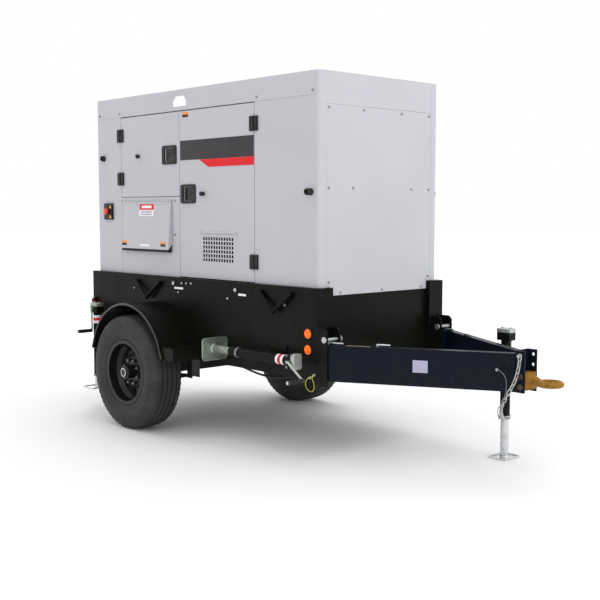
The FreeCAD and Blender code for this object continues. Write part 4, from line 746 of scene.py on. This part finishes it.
def flap_plate(name, finish, x, z, proud=0.0006, bevel=0.0):
    bm = bmesh.new()
    corners = [(x[0], z[0]), (x[1], z[0]), (x[1], z[1]), (x[0], z[1])]
    back, face = [[bm.verts.new(flap_point(*corner, lift)) for corner in corners]
                  for lift in (-0.0004, proud)]
    bm.faces.new(back)
    bm.faces.new(face)
    for number in range(4):
        after = (number + 1) % 4
        bm.faces.new((back[number], back[after], face[after], face[number]))
    piece("flap_" + name, bm, finish, "receptacle_flap", bevel=bevel)


for number, x in enumerate((-2.012, -1.527)):
    flap_plate(f"label_{number}_top", "orange", (x - 0.03, x + 0.03), (1.262, 1.277))
    flap_plate(f"label_{number}_foot", "ink", (x - 0.03, x + 0.03), (1.245, 1.262))
flap_plate("notice_red", "scarlet", (-1.842, -1.665), (1.500, 1.542))
flap_plate("notice_white", "white", (-1.842, -1.665), (1.457, 1.500))
for number, z in enumerate((1.465, 1.477, 1.489)):
    flap_plate(f"notice_bar_{number}", "ink", (-1.825, -1.682), (z, z + 0.004), 0.0009)
flap_plate("notice_bar_white", "white", (-1.815, -1.692), (1.512, 1.530), 0.0009)
flap_plate("strip", "white", (-1.81, -1.69), (1.243, 1.256))
for name, x, z in (("low", (-2.062, -1.460), (1.224, 1.238)), ("top", (-2.062, -1.460), (1.540, 1.553)),
                   ("rear", (-2.062, -2.048), (1.238, 1.540)), ("front", (-1.474, -1.460), (1.238, 1.540))):
    flap_plate("edge_" + name, "canopy", x, z, 0.0022, 0.0008)
low, high = outward(RIGHT, SKIN + 0.0005, SKIN + 0.030)
brush = add_box(bmesh.new(), (ahead(-2.052), low, 1.206), (ahead(-1.470), high, 1.2225))
piece("bay_brush", brush, "grip", bevel=0.001)

ESTOP_X, ESTOP_Z, ESTOP_FACE = -2.255, 1.488, 0.018
for number, z in enumerate((ESTOP_Z + 0.036, ESTOP_Z - 0.036)):
    corners = [(ahead(ESTOP_X + dx), z + dz) for dx, dz in ((0.018, -0.012), (0.046, -0.012), (0.032, 0.013))]
    sign = prism(corners, Y, -SKIN - ESTOP_FACE - 0.0006, -SKIN - ESTOP_FACE + 0.0004)
    piece(f"stop_sign_{number}", sign, "yellow")
stop_head = [(0.0222, 0.002), (0.0232, 0.004), (0.0232, 0.011), (0.0205, 0.0145), (0.010, 0.0165),
             (0.0001, 0.0165)]
centre = (ahead(ESTOP_X), -SKIN - ESTOP_FACE - 0.009, ESTOP_Z)
piece("stop_head", lathe(stop_head, Y, centre, 40, False, RIGHT), "red", "e_stop")

for number, (x, z, width) in enumerate(((-1.340, 0.968, 0.10), (-0.660, 0.963, 0.075))):
    outline = oblong(ahead(x), z, width, 0.014)
    piece(f"sill_label_{number}", prism(outline, Y, -SILL - 0.0008, -SILL + 0.0004), "white")

# ---------------------------------------------------------------- lamps


def dome(radius, height, raised):
    """The profile of a lens: a short rim, then an arc to the middle, lifted off the lamp's back."""
    turns = [math.pi / 12 * step for step in range(6)]
    arc = [(radius * math.cos(turn), height * (0.4 + 0.6 * math.sin(turn))) for turn in turns]
    return [(r, raised + reach) for r, reach in [(radius, 0), *arc, (0.0001, height)]]


def loose_solids(node):
    """The low and high corner of each loose solid in a node."""
    item = frame["nodes"][node]
    bm = bmesh.new()
    bm.from_mesh(item.data)
    bm.transform(item.matrix_world)
    bmesh.ops.remove_doubles(bm, verts=bm.verts, dist=0.00002)
    seen, found = set(), []
    for first in bm.verts:
        if first in seen:
            continue
        shell, reach = [], [first]
        seen.add(first)
        while reach:
            vert = reach.pop()
            shell.append(vert.co.copy())
            for edge in vert.link_edges:
                other = edge.other_vert(vert)
                if other not in seen:
                    seen.add(other)
                    reach.append(other)
        found.append([Vector([end(point[axis] for point in shell) for axis in (X, Y, Z)])
                      for end in (min, max)])
    bm.free()
    return found


def make_lamps(node, axis, finish):
    lenses, rings = bmesh.new(), bmesh.new()
    for low, high in loose_solids(node):
        radius = (high - low)[Z] / 2
        out = 1 if (high[axis] > 0 and axis == Y) else -1
        thick = (high - low)[axis]
        back = (low + high) / 2
        back[axis] = low[axis] if out > 0 else high[axis]
        add_lathe(lenses, dome(radius * 0.84, thick * 0.75, thick * 0.3), axis, back, 48, False, out)
        add_lathe(lenses, dome(radius * 0.34, thick * 0.40, thick * 0.7), axis, back, 32, False, out)
        collar = [(radius * 1.08, 0), (radius * 1.08, thick * 0.45), (radius * 1.0, thick * 0.62),
                  (radius * 0.86, thick * 0.62), (radius * 0.80, thick * 0.3)]
        add_lathe(rings, collar, axis, back, 48, False, out)
    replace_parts(piece(node + "_lenses", lenses, finish), node)
    piece(node + "_collars", rings, "rubber")


make_lamps("side_lights", Y, "amber")
make_lamps("tail_lights", X, "red_lens")

# ---------------------------------------------------------------- wheels

TREAD = TYRE_RADIUS - 0.0005
GROOVE = 0.009
NOTCH = 0.0055
TYRE_STEPS = 180
NUT_CIRCLE = 0.08255


def tyre_profile(notch):
    """The tyre's closed section, with four grooves and its shoulders cut back by a notch."""
    h = TYRE_HALF
    r = TREAD
    shoulder = r - 0.006 - notch
    outer = [(0.2035, h * 0.66), (0.2035, h * 0.74), (0.222, h * 0.80), (0.229, h * 0.885),
             (0.237, h * 0.905), (0.240, h * 0.935), (0.252, h * 0.945), (0.256, h * 0.962),
             (0.290, h * 0.985), (0.294, h * 0.995),
             (0.318, h * 0.995), (0.322, h * 0.980), (0.348, h * 0.955), (0.352, h * 0.935),
             (shoulder - 0.016, h * 0.885), (shoulder - 0.004, h * 0.845), (shoulder, h * 0.80),
             (r - 0.0045, 0.082), (r - 0.002, 0.0625), (r - 0.002 - GROOVE, 0.0600),
             (r - 0.002 - GROOVE, 0.0535), (r - 0.001, 0.0510),
             (r, 0.0240), (r - GROOVE, 0.0215), (r - GROOVE, 0.0155), (r, 0.0130)]
    mirrored = [(radius, -reach) for radius, reach in reversed(outer)]
    inner = [(0.228, -h * 0.60), (0.340, -h * 0.80), (0.366, -h * 0.45), (0.366, h * 0.45), (0.340, h * 0.80),
             (0.228, h * 0.60)]
    return outer + mirrored + inner


def make_tyre(name, body, centre):
    bm = bmesh.new()
    rings = []
    for step in range(TYRE_STEPS):
        turn = 2 * math.pi * (step + 0.5) / TYRE_STEPS
        rings.append([bm.verts.new(centre + along(Y, r * math.cos(turn), r * math.sin(turn), reach))
                      for r, reach in tyre_profile(0.0 if step % 3 else NOTCH)])
    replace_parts(piece(name + "_tread", join_rings(bm, rings), "tyre", body), name)


def make_wheel_details(side, body, centre):
    nuts, studs = bmesh.new(), bmesh.new()
    for number in range(8):
        turn = 2 * math.pi * (number + 0.5) / 8
        spot = centre + Vector((NUT_CIRCLE * math.cos(turn), 0, NUT_CIRCLE * math.sin(turn)))
        start, stop = spot + Vector((0, side * 0.030, 0)), spot + Vector((0, side * 0.053, 0))
        add_rod(nuts, start, stop, 0.0150, 6)
        add_rod(nuts, start, start + Vector((0, side * 0.005, 0)), 0.019, 24)
        add_rod(studs, stop, stop + Vector((0, side * 0.007, 0)), 0.0072, 16)
    piece(body + "_nuts", nuts, "spring", body, bevel=0.0012)
    piece(body + "_studs", studs, "screw", body, bevel=0.0008)
    cap = [(0.046, 0.092), (0.0475, 0.096), (0.0475, 0.100), (0.040, 0.103), (0.033, 0.104), (0.0315, 0.109),
           (0.029, 0.1125), (0.0001, 0.1135)]
    piece(body + "_hub_cap", lathe(cap, Y, centre, 48, False, side), "wheel", body)
    ring = [(0.0300, 0.1085), (0.0300, 0.1136), (0.0235, 0.1144), (0.0230, 0.1085)]
    piece(body + "_hub_ring", lathe(ring, Y, centre, 48, False, side), "bright", body)
    valve_turn = math.radians(112)
    radial = Vector((math.cos(valve_turn), 0, math.sin(valve_turn)))
    root = centre + radial * 0.186 + Vector((0, side * 0.020, 0))
    valve = rod(root, root + Vector((0, side * 0.040, 0)) - radial * 0.012, 0.0042, 12)
    piece(body + "_valve", valve, "grip", body, bevel=0.0008)


WHEELS = [(RIGHT, "tyre_right", "right_wheel"), (LEFT, "tyre_left", "left_wheel")]
for side, tyre, wheel in WHEELS:
    make_tyre(tyre, wheel, Vector((AXLE_X, side * WHEEL_Y, AXLE_Z)))
for side, tyre, wheel in WHEELS:
    make_wheel_details(side, wheel, Vector((AXLE_X, side * WHEEL_Y, AXLE_Z)))

# ---------------------------------------------------------------- jacks

GRIP, GRIP_RADIUS, GRIP_RIBS = 0.120, 0.0128, 7


def grip_profile():
    """A ribbed handle's profile, closed at both ends."""
    full, thin = GRIP_RADIUS * 1.10, GRIP_RADIUS * 0.8
    profile = [(0.0001, 0), (thin, 0), (GRIP_RADIUS, 0.003)]
    width = (GRIP - 0.012) / GRIP_RIBS
    for number in range(GRIP_RIBS):
        start = 0.006 + (GRIP - 0.012) * number / GRIP_RIBS
        profile += [(GRIP_RADIUS, start), (full, start + width * 0.25), (full, start + width * 0.7),
                    (GRIP_RADIUS, start + width * 0.9)]
    return profile + [(GRIP_RADIUS, GRIP - 0.003), (thin, GRIP), (0.0001, GRIP)]


def make_crank(label, side):
    """The rubber grip of a crank and its end washer, from the crank's own box."""
    jack, body = label + "_jack", label + "_crank"
    low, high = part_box(jack + "_crank")
    x = high[X] - 0.012 if label == "side" else (low[X] + high[X]) / 2
    start = Vector((x, high[Y] - GRIP + 0.0005 if side > 0 else low[Y] + GRIP - 0.0005, low[Z] + 0.012))
    piece(jack + "_grip", lathe(grip_profile(), Y, start, 28, False, side), "grip", body)
    end = start + Vector((0, side * (GRIP - 0.0005), 0))
    washer = [(0.0085, 0), (0.0085, 0.0022), (0.0001, 0.0028)]
    piece(jack + "_grip_end", lathe(washer, Y, end, 20, False, side), "bright", body)


make_crank("front", LEFT)
make_crank("rear", RIGHT)
make_crank("side", RIGHT)


def head_bolts(label, body, spots, out, finish="zinc", radius=0.0085):
    """Hexagon heads with a washer."""
    bm = bmesh.new()
    for spot in spots:
        spot = Vector(spot)
        add_rod(bm, spot, spot + Vector(out) * 0.0065, radius, 6)
        add_rod(bm, spot, spot + Vector(out) * 0.0015, radius * 1.35, 20)
    piece(label, bm, finish, body, bevel=0.0008)


FRONT_JACK, REAR_JACK = Vector((1.249, 0.382, 0)), Vector((-1.736, -0.627, 0))
SIDE_JACK = (0, -0.675, 0.615)
SIDE_HEAD = 0.539
cover = oblong(0, 0, 0.096, 0.070, 0.014)
for label, spot, top, finish in (("front_jack", FRONT_JACK, 0.785, "zinc"),
                                 ("rear_jack", REAR_JACK, 0.800, "galvanised")):
    outline = [(spot[X] + u, spot[Y] + v) for u, v in cover]
    piece(label + "_cap", prism(outline, Z, top - 0.020, top + 0.006), finish, bevel=0.004)
    spots = [(spot[X] + dx, spot[Y], top + 0.006) for dx in (-0.030, 0.030)]
    head_bolts(label + "_cap_bolts", "trailer", spots, (0, 0, 1))
outline = [(SIDE_JACK[Y] + v, SIDE_JACK[Z] + u) for u, v in cover]
cover = prism(outline, X, SIDE_HEAD - 0.022, SIDE_HEAD + 0.006)
piece("side_jack_cap", cover, "zinc", "side_jack", bevel=0.004)
spots = [(SIDE_HEAD - dx, -0.707, SIDE_JACK[Z] + dz) for dx in (0.014, 0.056) for dz in (0.034, -0.034)]
head_bolts("side_jack_bolts", "side_jack", spots, (0, -1, 0), "screw", 0.0065)


def make_leg(label, axis, spot, reach, size):
    """A bright inner tube on a dished foot plate with rounded corners."""
    low, high = reach
    gauge, radius = 0.006, 0.025
    wide, long = size
    u, v = (spot[Y], spot[Z]) if axis == X else (spot[X], spot[Y])
    width, height = (long, wide) if axis == X else (wide, long)
    outer = oblong(u, v, width, height, 0.026, 6)
    inner = oblong(u, v, width - 0.024, height - 0.024, 0.016, 6)
    bm = prism(outer, axis, low, low + gauge * 0.6)
    add_ring(bm, outer, inner, axis, low + gauge * 0.3, low + gauge * 1.7)
    tube = [(radius, gauge), (radius, high - low), (radius - 0.003, high - low), (radius - 0.003, gauge)]
    centre = along(axis, u, v, 0)
    add_lathe(bm, [(r, low + up) for r, up in tube], axis, centre, 48)
    flare = [(radius + 0.012, low + gauge * 0.5), (radius + 0.004, low + gauge + 0.003),
             (radius, low + gauge + 0.010), (radius - 0.002, low + gauge * 0.5)]
    add_lathe(bm, flare, axis, centre, 48)
    finish = "galvanised" if axis == X else "bright"
    leg = piece(label + "_jack_leg_bright", bm, finish, label + "_leg", bevel=0.0009)
    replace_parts(leg, label + "_jack_leg")


make_leg("front", Z, FRONT_JACK, (0.0, 0.480), (0.138, 0.168))
make_leg("rear", Z, REAR_JACK, (0.170, 0.650), (0.148, 0.204))
make_leg("side", X, SIDE_JACK, (-0.246, 0.304), (0.148, 0.204))

LABEL_RADIUS, RED_RADIUS, COLLAR_RADIUS = 0.0306, 0.0309, 0.0335
JACKS = {"side": ("side_jack", X, SIDE_JACK), "rear": ("trailer", Z, REAR_JACK),
         "front": ("trailer", Z, FRONT_JACK)}
for name, finish, low, high, radius in (
        ("side_jack_label_white", "white", 0.375, 0.440, LABEL_RADIUS),
        ("side_jack_label_red", "scarlet", 0.395, 0.420, RED_RADIUS),
        ("side_jack_collar", "screw", -0.0065, 0.012, COLLAR_RADIUS),
        ("rear_jack_label_white", "white", 0.655, 0.715, LABEL_RADIUS),
        ("rear_jack_label_red", "scarlet", 0.675, 0.695, RED_RADIUS),
        ("rear_jack_collar", "screw", 0.2545, 0.272, COLLAR_RADIUS),
        ("front_jack_collar", "screw", 0.2395, 0.257, COLLAR_RADIUS)):
    body, axis, centre = JACKS[name.split("_")[0]]
    profile = [(radius, low), (radius, high), (radius - 0.003, high), (radius - 0.003, low)]
    piece(name, lathe(profile, axis, centre, 48), finish, body)

# ---------------------------------------------------------------- drawbar and base


def beam_face(x):
    """How far out the drawbar beams' outer faces stand at an x, from the right beam's own corners."""
    item = frame["nodes"]["drawbar_beam_right"]
    points = [item.matrix_world @ vertex.co for vertex in item.data.vertices]
    tip = max(point.x for point in points)
    near = min((point for point in points if abs(point.x - tip) < 0.001), key=lambda point: point.y)
    widest = min(point.y for point in points)
    far = max((point for point in points if point.y < widest + 0.0006), key=lambda point: point.x)
    share = (x - far.x) / (near.x - far.x)
    return -(far.y + (near.y - far.y) * share)


start, stop = [Vector((x, -beam_face(x))) for x in (ahead(0.560), ahead(0.636))]
way = (stop - start).normalized()
out = Vector((way.y, -way.x))
marker = [start - out * 0.0005, stop - out * 0.0005, stop + out * 0.0012, start + out * 0.0012]
piece("beam_marker", prism(marker, Z, 0.585, 0.655), "marker", bevel=0.0004)


def weld_bead(bm, start, stop, radius=0.0042, pitch=0.006):
    """A row of overlapping rounded ripples between two points."""
    start, stop = Vector(start), Vector(stop)
    count = max(2, int((stop - start).length / pitch))
    for number in range(count):
        add_ball(bm, start.lerp(stop, (number + 0.5) / count), (radius, radius, radius), 1)


welds = bmesh.new()
BEAM_TIP, BEAM_LOW, BEAM_HIGH = 1.629, 0.505, 0.718
for side in (RIGHT, LEFT):
    y = side * beam_face(BEAM_TIP)
    weld_bead(welds, (BEAM_TIP, y, BEAM_LOW + 0.006), (BEAM_TIP, y, BEAM_HIGH - 0.004))
weld_bead(welds, (BEAM_TIP, -0.055, BEAM_HIGH), (BEAM_TIP, 0.055, BEAM_HIGH))
piece("drawbar_welds", welds, "drawbar")

BEAD_RADIUS, BEAD_Y, FENDER_Z = 0.438, 0.8535, 0.421
for side, label in ((RIGHT, "right"), (LEFT, "left")):
    turns = [math.radians(14 + 152 * step / 14) for step in range(15)]
    bead = [(AXLE_X + BEAD_RADIUS * math.cos(turn), side * BEAD_Y,
             FENDER_Z + BEAD_RADIUS * math.sin(turn)) for turn in turns]
    bent_rod("fender_bead_" + label, bead, 0.0075, "gloss")
handles = bmesh.new()
for side in (RIGHT, LEFT):
    for bar_x, reach in ((0.655, 0.095), (0.915, 0.075)):
        y = side * (beam_face(bar_x) - 0.055)
        add_rod(handles, (bar_x, y, 0.7255), (bar_x + reach, y - side * 0.028, 0.7265), 0.0065, 20)
        add_rod(handles, (bar_x, y, 0.716), (bar_x, y, 0.730), 0.0085, 20)
piece("pin_handles", handles, "bright", bevel=0.001)
strip = [(0.780, 0.006), (0.900, 0.006), (0.900, 0.020), (0.780, 0.020)]
piece("beam_strip", prism([(x, inset - beam_face(x)) for x, inset in strip], Z, 0.7175, 0.7190), "strip")

# ---------------------------------------------------------------- inside the canopy

ENGINE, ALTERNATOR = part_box("engine"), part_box("alternator")
ENGINE_HIGH = ENGINE[1][Z]
CANISTER = [(0.0001, 0), (0.040, 0.001), (0.045, 0.006), (0.045, 0.105), (0.041, 0.112), (0.041, 0.118),
            (0.047, 0.120), (0.047, 0.128), (0.0001, 0.128)]


def engine_side(side, label, oil_finish, fuel_finish):
    """Covers, bolts, filters and pipes on one long side of the engine."""
    wall = side * ENGINE[1][Y]

    def at(x, out, z):
        return Vector((x, wall + side * out, z))

    covers = bmesh.new()
    for low_x, high_x in ((-0.700, -0.420), (-0.380, -0.060)):
        outline = oblong((low_x + high_x) / 2, 0.950, high_x - low_x, 0.140, 0.02)
        add_prism(covers, outline, Y, *sorted((wall - side * 0.001, wall + side * 0.012)))
    for z in (1.075, 1.095, 1.115):
        rib = oblong(-0.36, z, 0.64, 0.007, 0.002, 2)
        add_prism(covers, rib, Y, *sorted((wall - side * 0.001, wall + side * 0.008)))
    piece(label + "_covers", covers, "engine", bevel=0.003)
    bolts = bmesh.new()
    for x in (-0.680, -0.560, -0.440, -0.360, -0.220, -0.080):
        for z in (0.893, 1.007):
            add_rod(bolts, at(x, 0.011, z), at(x, 0.019, z), 0.0075, 6)
    for number in range(9):
        x = -0.70 + number * 0.085
        add_rod(bolts, at(x, -0.001, 1.325), at(x, 0.009, 1.325), 0.0085, 6)
    piece(label + "_bolts", bolts, "screw", bevel=0.0008)
    piece(label + "_oil_filter", lathe(CANISTER, Z, at(-0.160, 0.058, 1.060), 40, False), oil_finish)
    piece(label + "_fuel_filter", lathe(CANISTER, Z, at(-0.600, 0.058, 1.120), 40, False), fuel_finish)
    heads = bmesh.new()
    for x, z in ((-0.205, 1.186), (-0.645, 1.246)):
        low_y, high_y = sorted((wall, wall + side * 0.085))
        add_box(heads, (x, low_y, z), (x + 0.090, high_y, z + 0.018))
    piece(label + "_filter_heads", heads, "alternator", bevel=0.004)
    starter = rod(at(-0.725, 0.052, 1.040), at(-0.520, 0.052, 1.040), 0.041, 36)
    add_rod(starter, at(-0.730, 0.052, 1.040), at(-0.715, 0.052, 1.040), 0.048, 36)
    add_rod(starter, at(-0.680, 0.085, 1.090), at(-0.580, 0.085, 1.090), 0.019, 24)
    piece(label + "_starter", starter, "spring", bevel=0.003)
    for number in range(4):
        x = -0.46 + number * 0.085
        points = [at(-0.335 + number * 0.012, 0.040, 1.165), at(-0.34 + number * 0.02, 0.060, 1.205),
                  at(x, 0.050, 1.245), at(x, 0.030, 1.275), at(x, 0.020, 1.300), at(x, -0.002, 1.312)]
        bent_rod(f"{label}_injector_pipe_{number}", points, 0.0035, "bright", smooth=6)
    pump = prism(oblong(-0.318, 1.145, 0.090, 0.050, 0.008), Y, *sorted((wall, wall + side * 0.055)))
    piece(label + "_pump", pump, "alternator", bevel=0.003)
    tube = [(-0.030, 0.004, 1.000), (-0.030, 0.030, 1.080), (-0.032, 0.032, 1.200), (-0.034, 0.030, 1.290)]
    bent_rod(label + "_dipstick", [at(*spot) for spot in tube], 0.004, "screw", smooth=6)
    pull = rod(at(-0.034, 0.030, 1.288), at(-0.034, 0.030, 1.318), 0.009, 20)
    piece(label + "_dipstick_pull", pull, "yellow", bevel=0.002)


engine_side(RIGHT, "engine_right", "orange", "white")
engine_side(LEFT, "engine_left", "white", "ink")

fins = bmesh.new()
fin_middle = (ALTERNATOR[0][Z] + ALTERNATOR[1][Z]) / 2
for side in (RIGHT, LEFT):
    wall = side * ALTERNATOR[1][Y]
    low, high = sorted((wall - side * 0.012, wall + side * 0.006))
    for number in range(9):
        z = fin_middle - 0.12 + number * 0.03
        add_box(fins, (ALTERNATOR[0][X] + 0.08, low, z - 0.004), (ALTERNATOR[1][X] - 0.10, high, z + 0.004))
piece("alternator_fins", fins, "alternator", bevel=0.0015)
box_low, box_high = ALTERNATOR[0][X] + 0.10, ALTERNATOR[1][X] - 0.12
box_middle, box_length, top = (box_low + box_high) / 2, box_high - box_low, ALTERNATOR[1][Z]
terminal = prism(oblong(box_middle, 0, box_length, 0.24, 0.02), Z, top - 0.004, top + 0.075)
piece("terminal_box", terminal, "alternator", bevel=0.004)
lid = prism(oblong(box_middle, 0, box_length + 0.012, 0.252, 0.022), Z, top + 0.073, top + 0.080)
piece("terminal_lid", lid, "alternator", bevel=0.002)
spots = [(x, y, top + 0.080) for x in (box_low + 0.02, box_high - 0.02) for y in (-0.105, 0.105)]
head_bolts("terminal_screws", "trailer", spots, (0, 0, 1), "screw", 0.006)
rocker = bmesh.new()
for number in range(4):
    cover = oblong(-0.60 + number * 0.165, 0.155, 0.145, 0.150, 0.03)
    add_prism(rocker, cover, Z, ENGINE_HIGH - 0.002, ENGINE_HIGH + 0.036)
piece("rocker_covers", rocker, "spring", bevel=0.008, segments=3)
elbow = [(0.040, 0.235, -0.060), (0.066, 0.236, 0.010), (0.090, 0.238, 0.034), (0.120, 0.240, 0.036),
         (0.141, 0.240, 0.034)]
bent_rod("radiator_elbow", [(x, y, ENGINE_HIGH + up) for x, y, up in elbow], 0.024, "rubber", smooth=10)

CABINET_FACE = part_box("control_cabinet")[0][Y]
PANEL_X, PANEL_Z = (ahead(-2.010), ahead(-1.460)), (1.640, 2.090)
MIDDLE_X, MIDDLE_Z = sum(PANEL_X) / 2, sum(PANEL_Z) / 2


def on_cabinet(name, finish, x, z, width, height, proud, radius=0.004, base=0.0, bevel=0.0):
    """A plate on the cabinet's front, x from the panel's middle."""
    reach = (CABINET_FACE - base - proud, CABINET_FACE - base + 0.0005)
    piece(name, prism(oblong(MIDDLE_X + x, z, width, height, radius), Y, *reach), finish, bevel=bevel)


on_cabinet("control_panel", "band", 0, MIDDLE_Z, PANEL_X[1] - PANEL_X[0], PANEL_Z[1] - PANEL_Z[0],
           0.004, 0.012, bevel=0.001)
on_cabinet("screen_frame", "black", -0.11, 1.985, 0.220, 0.150, 0.020, 0.010, 0.003, 0.003)
on_cabinet("screen_glass", "paddle", -0.11, 1.998, 0.150, 0.088, 0.0010, 0.003, 0.0225)
for number in range(6):
    on_cabinet(f"screen_key_{number}", "white" if number else "scarlet", -0.19 + number * 0.032, 1.930,
               0.020, 0.012, 0.003, 0.003, 0.022, 0.0008)
dials, faces, needles = bmesh.new(), bmesh.new(), bmesh.new()
for number in range(4):
    centre = Vector((MIDDLE_X + 0.075 + (number % 2) * 0.105, CABINET_FACE - 0.004,
                     2.025 - (number // 2) * 0.105))
    rim = [(0.044, 0), (0.044, 0.012), (0.037, 0.013), (0.036, 0.006)]
    add_lathe(dials, rim, Y, centre, 40, False, RIGHT)
    add_lathe(faces, [(0.0365, 0.0065), (0.0001, 0.0066)], Y, centre, 40, False, RIGHT)
    for tick in range(9):
        turn = math.radians(-40 + tick * 32.5)
        way = Vector((math.cos(turn), 0, math.sin(turn)))
        start = centre + Vector((0, -0.0070, 0)) + way * 0.028
        add_rod(needles, start, start + way * 0.006, 0.0008, 6)
    way = Vector((math.cos(2.2 - number * 0.3), 0, math.sin(2.2 - number * 0.3)))
    start = centre + Vector((0, -0.0078, 0))
    add_rod(needles, start, start + way * 0.024, 0.0011, 6)
piece("gauge_rims", dials, "black")
piece("gauge_faces", faces, "white")
piece("gauge_needles", needles, "ink")
knobs = bmesh.new()
for x in (-0.19, -0.10, -0.01):
    profile = [(0.022, 0), (0.022, 0.004), (0.015, 0.006), (0.014, 0.020), (0.011, 0.023), (0.0001, 0.023)]
    add_lathe(knobs, profile, Y, (MIDDLE_X + x, CABINET_FACE - 0.004, 1.83), 32, False, RIGHT)
piece("panel_switches", knobs, "black")
on_cabinet("breaker", "black", 0.13, 1.765, 0.150, 0.190, 0.030, 0.006, 0.003, 0.003)
on_cabinet("breaker_handle", "grip", 0.13, 1.780, 0.030, 0.055, 0.022, 0.004, 0.032, 0.003)
on_cabinet("breaker_flag", "scarlet", 0.13, 1.830, 0.060, 0.016, 0.0015, 0.002, 0.032)
for number, x in enumerate((-0.19, -0.15, -0.11, -0.07, -0.03)):
    on_cabinet(f"fuse_{number}", "white", x, 1.720, 0.032, 0.075, 0.024, 0.003, 0.003, 0.002)
    on_cabinet(f"fuse_lever_{number}", "ink", x, 1.724, 0.014, 0.022, 0.010, 0.002, 0.026, 0.001)
spots = [(x, CABINET_FACE - 0.004, z) for x in (PANEL_X[0] + 0.018, PANEL_X[1] - 0.018)
         for z in (PANEL_Z[0] + 0.018, PANEL_Z[1] - 0.018)]
piece("panel_corner_screws", dome_screws(spots, 0.005), "bright")

SOCKET_FACE = -0.457
SOCKET = [(0.0365, -0.006), (0.0365, 0.003), (0.033, 0.0045), (0.030, 0.0045), (0.029, 0.001),
          (0.0001, 0.001)]
lids, holes = bmesh.new(), bmesh.new()
for column in range(5):
    for row in range(2):
        centre = Vector((ahead(-1.980 + column * 0.110), SOCKET_FACE, 1.300 + row * 0.110))
        add_lathe(lids, SOCKET, Y, centre, 40, False, RIGHT)
        for number in range(4):
            turn = math.radians(45 + 90 * number)
            spot = centre + Vector((0.013 * math.cos(turn), -0.0008, 0.013 * math.sin(turn)))
            add_rod(holes, spot, spot + Vector((0, -0.0008, 0)), 0.0035, 12)
piece("socket_faces", lids, "black")
piece("socket_holes", holes, "bright")

# ---------------------------------------------------------------- CAD nodes kept as they are

SOFT_EDGE = {"canopy_paint": 0.0012, "base_paint": 0.0015, "drawbar_paint": 0.003, "zinc": 0.001,
             "black_plastic": 0.0025, "spring_steel": 0.001, "engine_paint": 0.008, "alternator_paint": 0.008}
NODE_FINISH = {"control_door": "door", "main_door": "door", "engine_door": "door", "pins_and_bolts": "bolts"}


def dress(node, finish, edge):
    """Gives a CAD node its material, and edges that catch the light."""
    item = frame["nodes"][node]
    item.data.materials.clear()
    item.data.materials.append(FINISH[finish].material)
    if not edge:
        return
    weld = item.modifiers.new("weld", "WELD")
    weld.merge_threshold = 0.00002
    flat = item.modifiers.new("flat", "DECIMATE")
    flat.decimate_type, flat.angle_limit = "DISSOLVE", math.radians(0.3)
    bevel = item.modifiers.new("edges", "BEVEL")
    bevel.width, bevel.segments, bevel.limit_method = edge, 2, "ANGLE"
    bevel.angle_limit = SHARP_ANGLE
    normals = item.modifiers.new("normals", "WEIGHTED_NORMAL")
    normals.weight = 100


for row in frame["record"]["subparts"]:
    node, slot = row["node"], row["material_slot"]
    dress(node, NODE_FINISH.get(node, SLOT_FINISH.get(slot, slot)), SOFT_EDGE.get(slot, 0))
